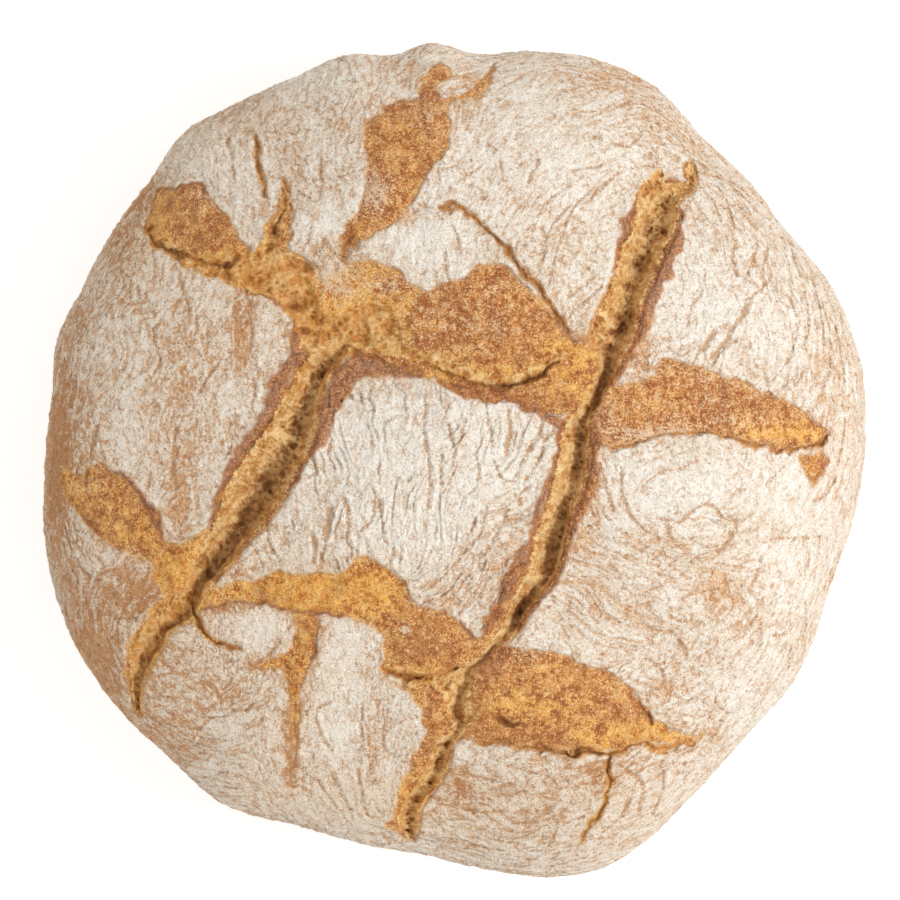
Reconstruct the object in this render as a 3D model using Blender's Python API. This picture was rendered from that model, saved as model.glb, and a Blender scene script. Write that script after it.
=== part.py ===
"""A round hearth loaf of sourdough as one closed solid.

The loaf was floured, slashed with two long cuts and several cross cuts, and tore open as it rose.
Its skin is a square grid laid over the dome like a cloth: every grid point is carried to the crown,
down the shoulder, round the girth and in to the flat foot, and is then moved by the relief of the
cuts, the torn bare fields and the swollen plates between them.
"""
import math

import bmesh
import bpy
import numpy as np

# Sizes in metres
LOAF_HEIGHT = 0.095
GIRTH_HEIGHT = 0.036
FOOT_SHARE = 0.84
SHOULDER_POWER = 2.35
VIEW_HEIGHT = 1.1

# The skin's grid: its turn lays the rows along the cuts, and gathering draws more rows into them
GRID_CELLS = 70
GRID_TURN = math.radians(-25)
GATHER = 0.6
GATHER_REACH = 0.016
RIM_START = 0.93
RIM_BAND = 0.15
TOP_SHARE = 0.75
NORMAL_STEP = 0.004

# Relief in metres, and the deepest line of a cut as a share of its half width
PLATE_ROUNDING = 0.0035
PLATE_REACH = 0.022
LIP_RISE = 0.0016
LIP_REACH = 0.006
LIP_PLACE = 1.3
FULL_LIP_DEPTH = 8
STEEP_SIDE = 0.25
BARE_DROP = 0.0022
BARE_EDGE = 0.003

MM = 0.001

# The outline seen from above: compass angle in degrees and radius in millimetres
OUTLINE = [
    (3, 130.5), (12, 132), (24, 131.5), (34, 128), (44, 128.5), (53, 129.5), (62, 134.5), (70, 135),
    (79, 132), (87, 129), (93, 132), (99, 129.5), (104, 132), (112, 131), (121, 132.5), (130, 134.5),
    (136, 131.5), (146, 130.5), (157, 130), (163, 131.5), (170, 129.5), (183, 130), (191, 132), (205, 133),
    (218, 131.5), (227, 130), (235, 131), (247, 125.5), (257, 124.5), (265, 125), (275, 130), (284, 135.5),
    (290, 136.5), (297, 134), (305, 129.5), (316, 126.5), (329, 127.5), (343, 125.5), (352, 127.5),
]

# Cuts that tore open: x, y, half width and depth in millimetres, from the back of the loaf to the front
CUTS = {
    "long right": [
        (75, 93, 2, 2), (73, 84, 3, 4), (65, 78, 6, 8), (60.5, 70, 6.5, 10), (58, 62, 6.5, 11),
        (55, 54, 6, 11), (52, 46.5, 6, 11), (49, 37, 4.5, 9), (47.5, 29, 3.5, 9), (44, 19.5, 3, 8),
        (39, 10, 4, 9), (37, 0, 4.5, 9), (35.5, -9, 4, 9), (31, -20, 5, 11), (29, -30, 5, 11),
        (24, -41, 4, 9), (17.5, -50.5, 3.5, 8), (11, -59.5, 2.5, 6), (3, -68, 4, 9), (1, -77.5, 3.5, 8),
        (-1.5, -87, 2.5, 5), (-7, -96, 4, 8), (-12.5, -105, 4, 9), (-15, -114, 4, 7), (-16, -120.5, 2.5, 3),
    ],
    "long left": [
        (-35, 34.5, 2, 3), (-41, 29.5, 4, 6), (-47.5, 19.5, 6.5, 9), (-52.5, 10, 7.5, 10),
        (-58.5, -0.5, 7.5, 11), (-65, -9, 7.5, 12), (-70.5, -19, 7, 12), (-77, -30, 6.5, 11),
        (-82, -39.5, 5, 9), (-86, -46, 4.5, 7), (-93.5, -52, 4.5, 6), (-99, -60, 4.5, 6),
        (-101.5, -69.5, 4, 6), (-100, -78.5, 2.5, 3),
    ],
    "upper cross": [
        (-93.5, 68, 2, 3), (-87, 65, 3, 5), (-76, 60.5, 4, 5), (-65, 60, 5, 5), (-52, 57, 6, 5),
        (-44.5, 51, 6, 5), (-39.5, 43, 5, 5), (-38, 35, 3, 4), (-28.5, 34.5, 2, 3), (-17.5, 33, 2, 2),
        (-4.5, 27.5, 2, 4), (6.5, 26, 2, 3), (15.5, 22.5, 2.5, 4), (24, 24.5, 2.5, 4), (30.5, 29.5, 2.5, 4),
        (33.5, 33.5, 2, 3),
    ],
    "crown seam": [
        (0, 82, 1.5, 2), (5, 76.5, 1.5, 2), (10.5, 73, 2, 2.5), (15.5, 65, 2.5, 3), (21.5, 58, 2, 3),
        (29, 50.5, 2, 3), (34, 44, 2.5, 3), (37.5, 39, 2, 2),
    ],
    "lower cross": [
        (-21.5, -68, 2, 3), (-14, -68.5, 2.5, 4), (-4.5, -69.5, 3, 4), (2, -74, 2.5, 4), (5, -80, 2, 3),
        (14.5, -81.5, 2.5, 3.5), (20, -83, 2.5, 4), (30.5, -83, 2, 2),
    ],
    "front seam": [
        (3.5, -89, 1.5, 2), (14.5, -89.5, 1.5, 2), (27, -92, 2, 3), (37.5, -94.5, 3, 4), (47, -94, 2.5, 4),
        (57.5, -90, 2, 3), (65.5, -89.5, 1.5, 2), (71, -92, 1.5, 2), (79.5, -87, 1.5, 2),
    ],
    "front branch": [(50, -96, 2, 3), (49.5, -101.5, 2.5, 3), (47.5, -108, 2.5, 3), (44, -114, 2, 2), (41.5, -120.5, 2, 2)],
    "right seam": [
        (46.5, 5, 1.5, 1), (59, 6.5, 1.5, 2), (68.5, 9, 1.5, 2), (78, 9, 1.5, 2), (89.5, 7.5, 1.5, 2),
        (99, 5, 2, 3), (110, 4.5, 2, 3), (117.5, 6.5, 2, 3), (119, 10.5, 1.5, 2),
    ],
    "left hook": [(-82.5, -48.5, 1.5, 2), (-80, -54, 1.5, 2), (-75.5, -58.5, 1.5, 2), (-68.5, -60, 1.5, 1)],
}

# Fields where the floured skin tore away and the dough browned bare, in millimetres
BARE_FIELDS = {
    "back": [
        (-28, 109), (-11.5, 116), (-4.5, 127), (-1.5, 123), (-5.5, 116.5), (-1.5, 114), (-1.5, 100.5),
        (-11, 88), (-13.5, 82), (-19, 76), (-30, 70.5), (-35, 63.5), (-35.5, 74), (-29.5, 83), (-27.5, 96),
    ],
    "back left": [
        (-94.5, 86), (-87.5, 88.5), (-79.5, 88), (-75.5, 80.5), (-69, 73.5), (-65, 65.5), (-73, 61),
        (-84, 61.5), (-93.5, 67), (-98, 72), (-97, 80),
    ],
    "middle": [
        (-65, 65.5), (-54, 70.5), (-46, 63.5), (-20.5, 63.5), (-14, 57), (-9.5, 54), (0, 57.5), (13, 63.5),
        (19.5, 59), (29, 49.5), (38.5, 38), (46, 37), (45.5, 22.5), (38.5, 15.5), (29, 16), (16, 19), (2, 20),
        (-8, 26), (-19, 30.5), (-35, 33), (-43, 37), (-52.5, 43.5), (-54, 48.5), (-65, 54.5), (-73, 57.5),
    ],
    "right": [
        (46.5, 23), (59, 26.5), (78, 29), (94, 25), (107, 18.5), (118, 10), (118, 5.5), (107, 4.5),
        (89.5, 7.5), (68.5, 9.5), (46.5, 5.5),
    ],
    "front centre": [
        (-80, -39), (-63.5, -36.5), (-36.5, -35), (-30, -30), (-19, -34.5), (-16, -42.5), (-1.5, -48.5),
        (6.5, -56.5), (16, -51), (5, -65), (-8, -67), (-22, -66), (-22.5, -55.5), (-35, -48), (-57, -46), (-79.5, -47),
    ],
    "front right": [
        (5, -66.5), (14.5, -57), (33.5, -61), (51, -67), (59, -76), (72, -87), (79.5, -86.5), (72, -90),
        (57.5, -89.5), (46.5, -93.5), (27, -92), (3.5, -88.5), (2, -76),
    ],
    "front": [(-22, -70.5), (-13.5, -73), (-9.5, -84), (-14, -97), (-17.5, -105), (-19, -116), (-15, -105), (-4.5, -89), (-1.5, -73)],
    "left": [
        (-124, -1.5), (-113, -1.5), (-105, -5), (-97, -15.5), (-91, -26.5), (-81, -23.5), (-85, -38),
        (-90.5, -41), (-100, -31.5), (-113, -23.5), (-121, -14),
    ],
}

# Long waves that leave the dome a little uneven: crests across x, crests across y, phase and height in millimetres
DOME_WAVES = [(1.3, 0.7, 0.4, 1.4), (-0.9, 1.6, 2.1, 1.0), (2.6, 1.9, 4.0, 0.6), (-2.2, 3.1, 1.0, 0.5)]

MEAN_RADIUS = sum(radius for _, radius in OUTLINE) / len(OUTLINE) * MM


def smooth_step(value):
    """0 below 0, 1 above 1, and an even rise between."""
    share = np.clip(value, 0, 1)
    return share * share * (3 - 2 * share)


def outline_radius(angle):
    """The loaf's radius in metres at each compass angle: a smooth closed curve through OUTLINE."""
    corners = np.radians([degrees for degrees, _ in OUTLINE])
    radii = np.array([radius for _, radius in OUTLINE]) * MM
    turns = np.concatenate([corners - 2 * math.pi, corners, corners + 2 * math.pi])
    rounds = np.tile(radii, 3)
    slopes = np.gradient(rounds, turns)
    angle = np.mod(angle, 2 * math.pi)
    after = np.searchsorted(turns, angle)
    span = turns[after] - turns[after - 1]
    part = (angle - turns[after - 1]) / span
    start, end = rounds[after - 1], rounds[after]
    bend_out = part * (1 - part) ** 2 * slopes[after - 1] * span
    bend_in = part ** 2 * (part - 1) * slopes[after] * span
    return start + (end - start) * smooth_step(part) + bend_out + bend_in


def skin_profile(share):
    """Radius over the outline's radius, and height, at each share of the way from crown to foot."""
    turn = np.linspace(0, math.pi / 2, 200)
    top_radius = np.sin(turn) ** (2 / SHOULDER_POWER)
    top_height = GIRTH_HEIGHT + (LOAF_HEIGHT - GIRTH_HEIGHT) * np.cos(turn) ** (2 / SHOULDER_POWER)
    under_radius = FOOT_SHARE + (1 - FOOT_SHARE) * np.cos(turn[1:])
    under_height = GIRTH_HEIGHT * (1 - np.sin(turn[1:]))
    radius = np.concatenate([top_radius, under_radius])
    height = np.concatenate([top_height, under_height])
    steps = np.hypot(np.diff(radius) * MEAN_RADIUS, np.diff(height))
    travelled = np.concatenate([[0], np.cumsum(steps)])
    return np.interp(share * travelled[-1], travelled, radius), np.interp(share * travelled[-1], travelled, height)


def smooth_route(route, parts=5):
    """More points on a smooth curve through a route's own points, with its widths and depths."""
    points = np.array(route, float)
    points = np.vstack([2 * points[0] - points[1], points, 2 * points[-1] - points[-2]])
    share = (np.arange(parts) / parts)[:, None]
    runs = []
    for before, start, end, after in zip(points, points[1:], points[2:], points[3:]):
        bend = (2 * before - 5 * start + 4 * end - after) * share ** 2
        close = (3 * start - before - 3 * end + after) * share ** 3
        runs.append(start + ((end - before) * share + bend + close) / 2)
    return np.vstack([*runs, points[-2:-1]])


def nearest_on_route(route, x, y):
    """For each point: distance, side (+1 right of a route that runs to the front), offset, width and depth."""
    best = np.full(x.shape, np.inf)
    side, width, depth = np.zeros_like(x), np.zeros_like(x), np.zeros_like(x)
    away_x, away_y = np.zeros_like(x), np.zeros_like(x)
    knots = smooth_route(route)
    for start, end in zip(knots, knots[1:]):
        run = end[:2] - start[:2]
        share = np.clip(((x - start[0]) * run[0] + (y - start[1]) * run[1]) / (run @ run), 0, 1)
        off_x, off_y = x - start[0] - share * run[0], y - start[1] - share * run[1]
        distance = np.hypot(off_x, off_y)
        closer = distance < best
        best = np.where(closer, distance, best)
        side = np.where(closer, np.sign(run[0] * off_y - run[1] * off_x), side)
        width = np.where(closer, start[2] + share * (end[2] - start[2]), width)
        depth = np.where(closer, start[3] + share * (end[3] - start[3]), depth)
        away_x, away_y = np.where(closer, off_x, away_x), np.where(closer, off_y, away_y)
    return best, side, (away_x, away_y), width, depth


def depth_inside(corners, x, y):
    """How far each point lies inside a closed field: above 0 inside it, below 0 outside."""
    inside = np.zeros(x.shape, bool)
    best = np.full(x.shape, np.inf)
    for (x0, y0), (x1, y1) in zip(corners, corners[1:] + corners[:1]):
        run_x, run_y = x1 - x0, y1 - y0
        share = np.clip(((x - x0) * run_x + (y - y0) * run_y) / (run_x ** 2 + run_y ** 2), 0, 1)
        best = np.minimum(best, np.hypot(x - x0 - share * run_x, y - y0 - share * run_y))
        if y0 != y1:
            crosses = ((y0 > y) != (y1 > y)) & (x < x0 + (y - y0) * run_x / run_y)
            inside ^= crosses
    return np.where(inside, best, -best)


def grid_to_disc(u, v):
    """Carry a square from -1 to 1 to a round disc, ring by ring, with every cell keeping its area."""
    ring = np.maximum(np.abs(u), np.abs(v))
    steep = np.abs(v) > np.abs(u)
    long_side = np.where(steep, v, u)
    short_side = np.where(steep, u, v)
    safe = np.where(long_side == 0, 1, long_side)
    swing = math.pi / 4 * short_side / safe
    angle = np.where(steep, math.pi / 2 - swing, swing) + np.where(long_side < 0, math.pi, 0)
    return ring * np.cos(angle), ring * np.sin(angle)


def dome_point(disc_x, disc_y):
    """The smooth dome under a point of the disc, before any cut."""
    share = np.hypot(disc_x, disc_y)
    angle = np.arctan2(disc_y, disc_x)
    radius_share, z = skin_profile(np.clip(share, 0, 1))
    radius = radius_share * outline_radius(angle)
    return radius * np.cos(angle), radius * np.sin(angle), z


def plan_point(x, y, z):
    """Where the plan shows a point: seen from VIEW_HEIGHT, what is higher lies further out. In millimetres."""
    spread = (VIEW_HEIGHT - GIRTH_HEIGHT) / (VIEW_HEIGHT - z)
    return x * spread / MM, y * spread / MM


def gather_to_cuts(disc_x, disc_y):
    """Draw the grid together along the cuts, so their walls get more faces than the plates."""
    x, y, z = dome_point(disc_x, disc_y)
    plan_x, plan_y = plan_point(x, y, z)
    disc_per_mm = TOP_SHARE * MM / MEAN_RADIUS
    move_x, move_y = np.zeros_like(disc_x), np.zeros_like(disc_y)
    best = np.full(disc_x.shape, np.inf)
    for name in ("long right", "long left", "upper cross", "lower cross"):
        distance, _, (away_x, away_y), _, _ = nearest_on_route(CUTS[name], plan_x, plan_y)
        pull = GATHER * np.exp(-(distance * MM / GATHER_REACH) ** 2)
        closer = distance < best
        move_x = np.where(closer, -pull * away_x, move_x)
        move_y = np.where(closer, -pull * away_y, move_y)
        best = np.minimum(best, distance)
    room = smooth_step((RIM_START - np.hypot(disc_x, disc_y)) / RIM_BAND) * disc_per_mm
    return disc_x + move_x * room, disc_y + move_y * room


def relief(plan_x, plan_y):
    """How far the skin stands out from the smooth dome at each point of the plan, in metres."""
    height = np.zeros_like(plan_x)
    nearest_cut = np.full(plan_x.shape, np.inf)
    for route in CUTS.values():
        distance, side, _, width, depth = nearest_on_route(route, plan_x, plan_y)
        across = side * distance / width
        gentle = smooth_step((across + 1) / (1 + STEEP_SIDE))
        steep = 1 - smooth_step((across - STEEP_SIDE) / (1 - STEEP_SIDE))
        height -= depth * MM * np.where(across < STEEP_SIDE, gentle, steep)
        lip = np.exp(-((distance - width * LIP_PLACE) * MM / LIP_REACH) ** 2)
        height += LIP_RISE * lip * np.clip(depth / FULL_LIP_DEPTH, 0, 1)
        nearest_cut = np.minimum(nearest_cut, np.maximum(distance - width, 0) * MM)
    height -= PLATE_ROUNDING * np.exp(-nearest_cut / PLATE_REACH)
    for corners in BARE_FIELDS.values():
        height -= BARE_DROP * smooth_step(depth_inside(corners, plan_x, plan_y) * MM / BARE_EDGE + 0.5)
    for crests_x, crests_y, phase, rise in DOME_WAVES:
        crests = (crests_x * plan_x + crests_y * plan_y) * MM / (2 * MEAN_RADIUS)
        height += rise * MM * np.sin(2 * math.pi * crests + phase)
    return height


def skin_points(u, v):
    """Every grid point's place on the loaf: dome first, then the relief pushed out along the dome's normal."""
    disc_x, disc_y = grid_to_disc(u, v)
    turned_x = disc_x * math.cos(GRID_TURN) - disc_y * math.sin(GRID_TURN)
    turned_y = disc_x * math.sin(GRID_TURN) + disc_y * math.cos(GRID_TURN)
    disc_x, disc_y = gather_to_cuts(turned_x, turned_y)
    x, y, z = dome_point(disc_x, disc_y)
    share = np.hypot(disc_x, disc_y)
    inner_radius, inner_z = skin_profile(np.clip(share - NORMAL_STEP, 0, 1))
    outer_radius, outer_z = skin_profile(np.clip(share + NORMAL_STEP, 0, 1))
    run_out, run_up = (outer_radius - inner_radius) * MEAN_RADIUS, outer_z - inner_z
    length = np.hypot(run_out, run_up)
    angle = np.arctan2(disc_y, disc_x)
    height = relief(*plan_point(x, y, z)) * smooth_step(z / GIRTH_HEIGHT)
    outward = -height * run_up / length
    return x + outward * np.cos(angle), y + outward * np.sin(angle), z + height * run_out / length


def crust_material():
    """Floured brown crust, dull all over."""
    material = bpy.data.materials.new("floured crust")
    material.use_nodes = True
    shader = material.node_tree.nodes["Principled BSDF"]
    shader.inputs["Base Color"].default_value = (0.62, 0.47, 0.33, 1)
    shader.inputs["Roughness"].default_value = 0.85
    shader.inputs["Metallic"].default_value = 0
    return material


def make_loaf(collection):
    """The loaf: the moved grid as its skin, and one flat foot closing it below."""
    mesh = bpy.data.meshes.new("loaf")
    loaf = bpy.data.objects.new("loaf", mesh)
    collection.objects.link(loaf)
    cloth = bmesh.new()
    bmesh.ops.create_grid(cloth, x_segments=GRID_CELLS, y_segments=GRID_CELLS, size=1)
    flat = np.array([vert.co[:2] for vert in cloth.verts])
    x, y, z = skin_points(flat[:, 0], flat[:, 1])
    for vert, place in zip(cloth.verts, zip(x, y, z)):
        vert.co = place
    rim = [edge for edge in cloth.edges if edge.is_boundary]
    for edge in rim:
        for vert in edge.verts:
            vert.co.z = 0
    bmesh.ops.holes_fill(cloth, edges=rim, sides=0)
    bmesh.ops.recalc_face_normals(cloth, faces=cloth.faces)
    cloth.to_mesh(mesh)
    cloth.free()
    mesh.shade_smooth()
    mesh.set_sharp_from_angle(angle=math.radians(50))
    mesh.materials.append(crust_material())
    centre_on_foot(mesh)


def centre_on_foot(mesh):
    """Move the loaf so that the middle of its box stands over the origin."""
    places = np.empty(len(mesh.vertices) * 3)
    mesh.vertices.foreach_get("co", places)
    places = places.reshape(-1, 3)
    low, high = places.min(axis=0), places.max(axis=0)
    places[:, :2] -= (low[:2] + high[:2]) / 2
    mesh.vertices.foreach_set("co", places.ravel())
    mesh.update()


for leftover in list(bpy.data.objects):
    bpy.data.objects.remove(leftover)
parts = bpy.data.collections.new("sourdough loaf")
bpy.context.scene.collection.children.link(parts)
make_loaf(parts)
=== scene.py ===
# %% [markdown]
# # A sourdough loaf, worked out as one surface
#
# A round hearth loaf: floured, slashed, and torn open by the oven's heat. The solid that carries
# it is loaded first and stays fixed. Everything that shows is then built over that solid as a
# skin of fine quads, because on real bread form and finish are one thing: the flour lies on the
# plates, the cuts are golden because they opened late, and the rims between them are dark because
# they stand proud. One set of distances drives both the relief and the colours.

# %% The fixed frame
import math

import bpy
import numpy as np
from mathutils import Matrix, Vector


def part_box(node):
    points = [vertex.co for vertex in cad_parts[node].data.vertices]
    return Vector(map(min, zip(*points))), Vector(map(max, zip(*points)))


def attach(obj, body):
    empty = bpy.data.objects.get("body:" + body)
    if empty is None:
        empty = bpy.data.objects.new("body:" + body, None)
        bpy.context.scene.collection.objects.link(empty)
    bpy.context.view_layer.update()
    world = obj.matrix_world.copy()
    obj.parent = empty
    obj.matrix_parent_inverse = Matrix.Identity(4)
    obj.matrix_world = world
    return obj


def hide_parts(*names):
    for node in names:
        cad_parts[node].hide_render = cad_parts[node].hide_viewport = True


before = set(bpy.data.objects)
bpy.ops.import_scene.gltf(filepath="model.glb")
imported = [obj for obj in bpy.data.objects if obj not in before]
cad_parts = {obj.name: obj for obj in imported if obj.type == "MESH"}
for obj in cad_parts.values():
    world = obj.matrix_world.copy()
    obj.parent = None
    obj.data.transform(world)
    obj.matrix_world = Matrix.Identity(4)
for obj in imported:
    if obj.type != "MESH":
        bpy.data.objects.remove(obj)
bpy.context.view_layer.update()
loaf_low, loaf_high = (np.array(corner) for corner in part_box("loaf"))
print("the solid measures", (loaf_high - loaf_low).round(4), "m")

# %% [markdown]
# ## Sizes
#
# The loaf's own sizes repeat those of the solid, so that the skin lies on it. A dome could be
# sculpted or grown with a simulation, but its main form is simple: a flattened shoulder curve
# turned round an outline that is a little different in every direction.

# %% Sizes in metres
MM = 0.001
LOAF_HEIGHT = 0.095
GIRTH_HEIGHT = 0.036
FOOT_SHARE = 0.84
SHOULDER_POWER = 2.35
CAMERA_HEIGHT = 1.1

# Pixels of the photograph: the one over the loaf's middle, and their size at the widest line
MIDDLE_PIXEL = (454.5, 461.0)
PHOTO_SIZE = 900
MM_PER_PIXEL = 0.3182

# The outline seen from above: compass angle in degrees and radius in millimetres
OUTLINE = [
    (3, 130.5), (12, 132), (24, 131.5), (34, 128), (44, 128.5), (53, 129.5), (62, 134.5), (70, 135),
    (79, 132), (87, 129), (93, 132), (99, 129.5), (104, 132), (112, 131), (121, 132.5), (130, 134.5),
    (136, 131.5), (146, 130.5), (157, 130), (163, 131.5), (170, 129.5), (183, 130), (191, 132),
    (205, 133), (218, 131.5), (227, 130), (235, 131), (247, 125.5), (257, 124.5), (265, 125),
    (275, 130), (284, 135.5), (290, 136.5), (297, 134), (305, 129.5), (316, 126.5), (329, 127.5),
    (343, 125.5), (352, 127.5),
]
MEAN_RADIUS = sum(radius for _, radius in OUTLINE) / len(OUTLINE) * MM
print("mean radius", round(MEAN_RADIUS, 4), "m")

# %% [markdown]
# ## The tears
#
# A baker slashes the floured dough, and the oven pulls each slash open. Two long tears run from
# the back to the front, and rough fields and narrow crevices join them. Boolean cutters could
# carve them, but a tear that is measured from gives more: how far any point of the skin lies
# from it, on which side, and how deep it has sunk. Each entry below is read off the photograph:
# a row, the tear's left and right edges and its deepest place there, and how deep it is.

# %% Two long tears: row, left edge, right edge and deepest column in pixels, depth in millimetres
LONG_TEARS = {
    "right": [
        (166, 687, 693, 690, 1.5), (176, 685, 695, 690, 3), (186, 681, 695, 688, 4),
        (194, 645, 692, 682, 6.5), (203, 638, 684, 668, 8), (214, 634, 680, 660, 9),
        (225, 631, 676, 654, 9.5), (240, 627, 669, 648, 9.5), (255, 619, 662, 642, 9.5),
        (270, 614, 656, 637, 9.5), (285, 610, 648, 630, 8.5), (300, 604, 642, 630, 8.5),
        (315, 599, 639, 630, 9), (330, 592, 634, 622, 9), (345, 594, 627, 614, 9),
        (360, 597, 620, 609, 9.5), (375, 595, 615, 606, 10), (390, 590, 606, 600, 9.5),
        (402, 584, 601, 596, 9), (415, 572, 592, 586, 7), (430, 564, 590, 583, 8),
        (450, 560, 589, 581, 9), (470, 556, 586, 578, 9), (488, 551, 582, 574, 6.5),
        (500, 548, 574, 566, 8), (520, 541, 570, 563, 10), (540, 533, 565, 558, 11),
        (560, 529, 561, 553, 11), (576, 524, 553, 544, 7), (590, 517, 543, 534, 9),
        (605, 509, 531, 525, 9), (620, 502, 523, 516, 8), (632, 496, 513, 508, 5),
        (645, 487, 498, 495, 4), (658, 475, 487, 484, 4), (670, 460, 474, 469, 5),
        (684, 457, 472, 466, 5), (696, 449, 465, 459, 4), (710, 447, 463, 456, 5),
        (722, 451, 463, 458, 4), (732, 449, 460, 457, 3), (742, 438, 453, 448, 4),
        (755, 430, 450, 441, 5.5), (768, 424, 446, 436, 5.5), (780, 417, 440, 429, 5.5),
        (792, 408, 429, 419, 6), (805, 401, 420, 411, 5.5), (820, 396, 418, 409, 5.5),
        (835, 400, 415, 409, 4.5), (844, 404, 412, 410, 3),
    ],
    "left": [
        (348, 328, 352, 344, 4), (357, 312, 345, 338, 8), (368, 300, 334, 327, 9),
        (380, 293, 327, 318, 8), (395, 286, 322, 312, 8), (410, 279, 319, 306, 9),
        (425, 270, 318, 300, 10), (440, 260, 314, 292, 8), (455, 248, 307, 288, 11),
        (470, 236, 299, 279, 11), (485, 225, 291, 269, 12), (500, 219, 279, 261, 12),
        (515, 213, 268, 252, 12), (530, 208, 254, 244, 11), (545, 200, 244, 234, 11),
        (560, 192, 229, 221, 11), (572, 185, 217, 211, 10), (585, 183, 204, 200, 8),
        (600, 180, 201, 198, 6.5), (612, 168, 196, 192, 6), (622, 150, 178, 175, 6),
        (634, 136, 169, 166, 6), (648, 131, 158, 155, 6), (662, 127, 150, 148, 6),
        (676, 127, 145, 142, 6), (690, 130, 143, 140, 5), (702, 132, 141, 138, 4),
        (712, 136, 141, 139, 2),
    ],
}
print(sum(len(rows) for rows in LONG_TEARS.values()), "rows of the two long tears")

# %% Narrow crevices: routes of column, row, half width and depth in millimetres
CREVICES = [
    [(147, 228, 1, 1.5), (152, 238, 1.3, 2.5), (162, 247, 1.6, 3.5), (172, 251, 2, 4.5),
     (181, 254, 1.5, 3), (190, 256, 1, 1.5), (203, 262, 1.3, 2.5), (214, 266, 1.6, 3.5),
     (222, 267, 1.8, 4), (232, 263, 1.6, 3.5), (240, 258, 1, 1.5)],
    [(352, 352, 1, 2), (372, 356, 1.2, 2), (388, 362, 0.8, 0.8), (405, 361, 0.7, 0.7),
     (425, 365, 0.9, 1.2), (447, 372, 1.2, 2.5), (470, 381, 1.3, 3), (490, 388, 1.7, 4),
     (505, 389, 1.8, 4.5), (519, 385, 1.6, 4), (532, 379, 1.7, 4.5), (545, 371, 1.5, 4),
     (556, 361, 1, 2)],
    [(441, 206, 0.6, 1), (455, 205, 0.9, 1.8), (470, 214, 0.8, 1.5), (485, 230, 1, 2),
     (500, 246, 1.2, 2.2), (515, 262, 0.9, 2), (530, 279, 1.1, 2.4), (546, 297, 1, 2),
     (557, 315, 1.2, 2.5), (568, 331, 1, 2)],
    [(384, 668, 1, 1.5), (395, 674, 1.5, 3), (408, 677, 1.5, 3.2), (420, 676, 1.1, 2),
     (440, 672, 0.8, 1.2), (455, 668, 1.2, 3)],
    [(486, 711, 0.7, 1), (495, 716, 0.9, 2), (503, 721, 1.5, 4), (512, 724, 1.5, 4), (522, 721, 0.9, 2),
     (535, 722, 0.7, 1), (548, 720, 0.6, 0.8)],
    [(460, 738, 0.7, 1), (480, 740, 0.7, 1), (500, 741, 0.8, 1.5), (530, 747, 0.9, 2),
     (555, 751, 1.1, 2.5), (568, 755, 1.6, 4), (580, 750, 1.8, 2.5), (592, 753, 1.5, 3.5),
     (604, 756, 1.5, 4), (615, 752, 1, 2.5), (630, 745, 0.8, 2), (645, 744, 0.8, 2),
     (665, 747, 0.8, 1.5), (690, 740, 0.7, 1)],
    [(608, 758, 0.8, 1.5), (609, 770, 1.2, 3), (610, 780, 1, 2.5), (606, 795, 1, 2),
     (599, 811, 1.1, 2.5), (589, 826, 0.9, 1.5), (582, 840, 0.7, 1)],
    [(641, 702, 0.8, 1.5), (648, 713, 1.2, 2.5), (653, 725, 0.8, 2)],
    [(612, 447, 0.7, 1), (640, 440, 0.7, 1.2), (667, 434, 0.8, 1.6), (690, 432, 0.7, 1.2),
     (724, 436, 0.8, 2), (749, 443, 0.9, 2), (775, 447, 0.7, 1.5), (806, 447, 0.9, 2),
     (820, 442, 1.4, 3), (828, 434, 1.1, 2.5)],
    [(193, 606, 1.2, 4), (196, 618, 1.4, 4), (202, 627, 1.2, 3), (211, 637, 1.1, 2.5),
     (222, 643, 0.9, 2), (241, 648, 0.6, 1)],
    [(283, 178, 0.7, 0.6), (285, 195, 0.8, 1), (285, 208, 0.9, 1.2), (279, 220, 1, 1.5),
     (274, 234, 1.2, 2)],
    [(256, 138, 0.6, 0.4), (259, 160, 0.7, 0.6), (262, 182, 0.6, 0.5), (264, 194, 0.5, 0.3)],
    [(345, 262, 0.8, 1.2), (343, 252, 1, 1.5), (350, 238, 1.1, 1.2), (360, 228, 0.8, 0.6)],
]
print(len(CREVICES), "crevices")

# %% Pits in the crumb: column, row, radii in pixels, depth in millimetres; and strands across it, in pixels
PITS = [
    (651, 203, 3, 6, 3.5), (645, 225, 5, 5, 4.5), (653, 219, 4, 3, 2.5), (667, 222, 6, 4, 3.5),
    (639, 268, 7, 8, 5), (653, 266, 3, 3, 2.5), (656, 255, 3, 3, 2), (627, 262, 4, 6, 2),
    (612, 303, 4, 5, 2.5), (609, 312, 3, 3, 2.5), (600, 342, 10, 9, 4), (298, 427, 9, 9, 3),
    (326, 366, 10, 7, 2), (292, 302, 12, 7, 3.5), (304, 331, 6, 4, 3), (332, 327, 6, 4, 2),
    (293, 262, 8, 4, 2.5), (306, 266, 6, 5, 2.5), (275, 232, 7, 6, 3), (385, 330, 6, 5, 2),
    (362, 338, 7, 4, 2), (465, 679, 6, 9, 2.5), (412, 788, 8, 6, 1.5), (571, 748, 8, 7, 2),
    (700, 398, 5, 4, 1.2), (745, 402, 7, 4, 1.0), (152, 229, 4, 4, 2.5), (592, 690, 5, 5, 0.6),
    (515, 686, 6, 7, 0.8), (350, 240, 12, 12, 1.5),
]
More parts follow.
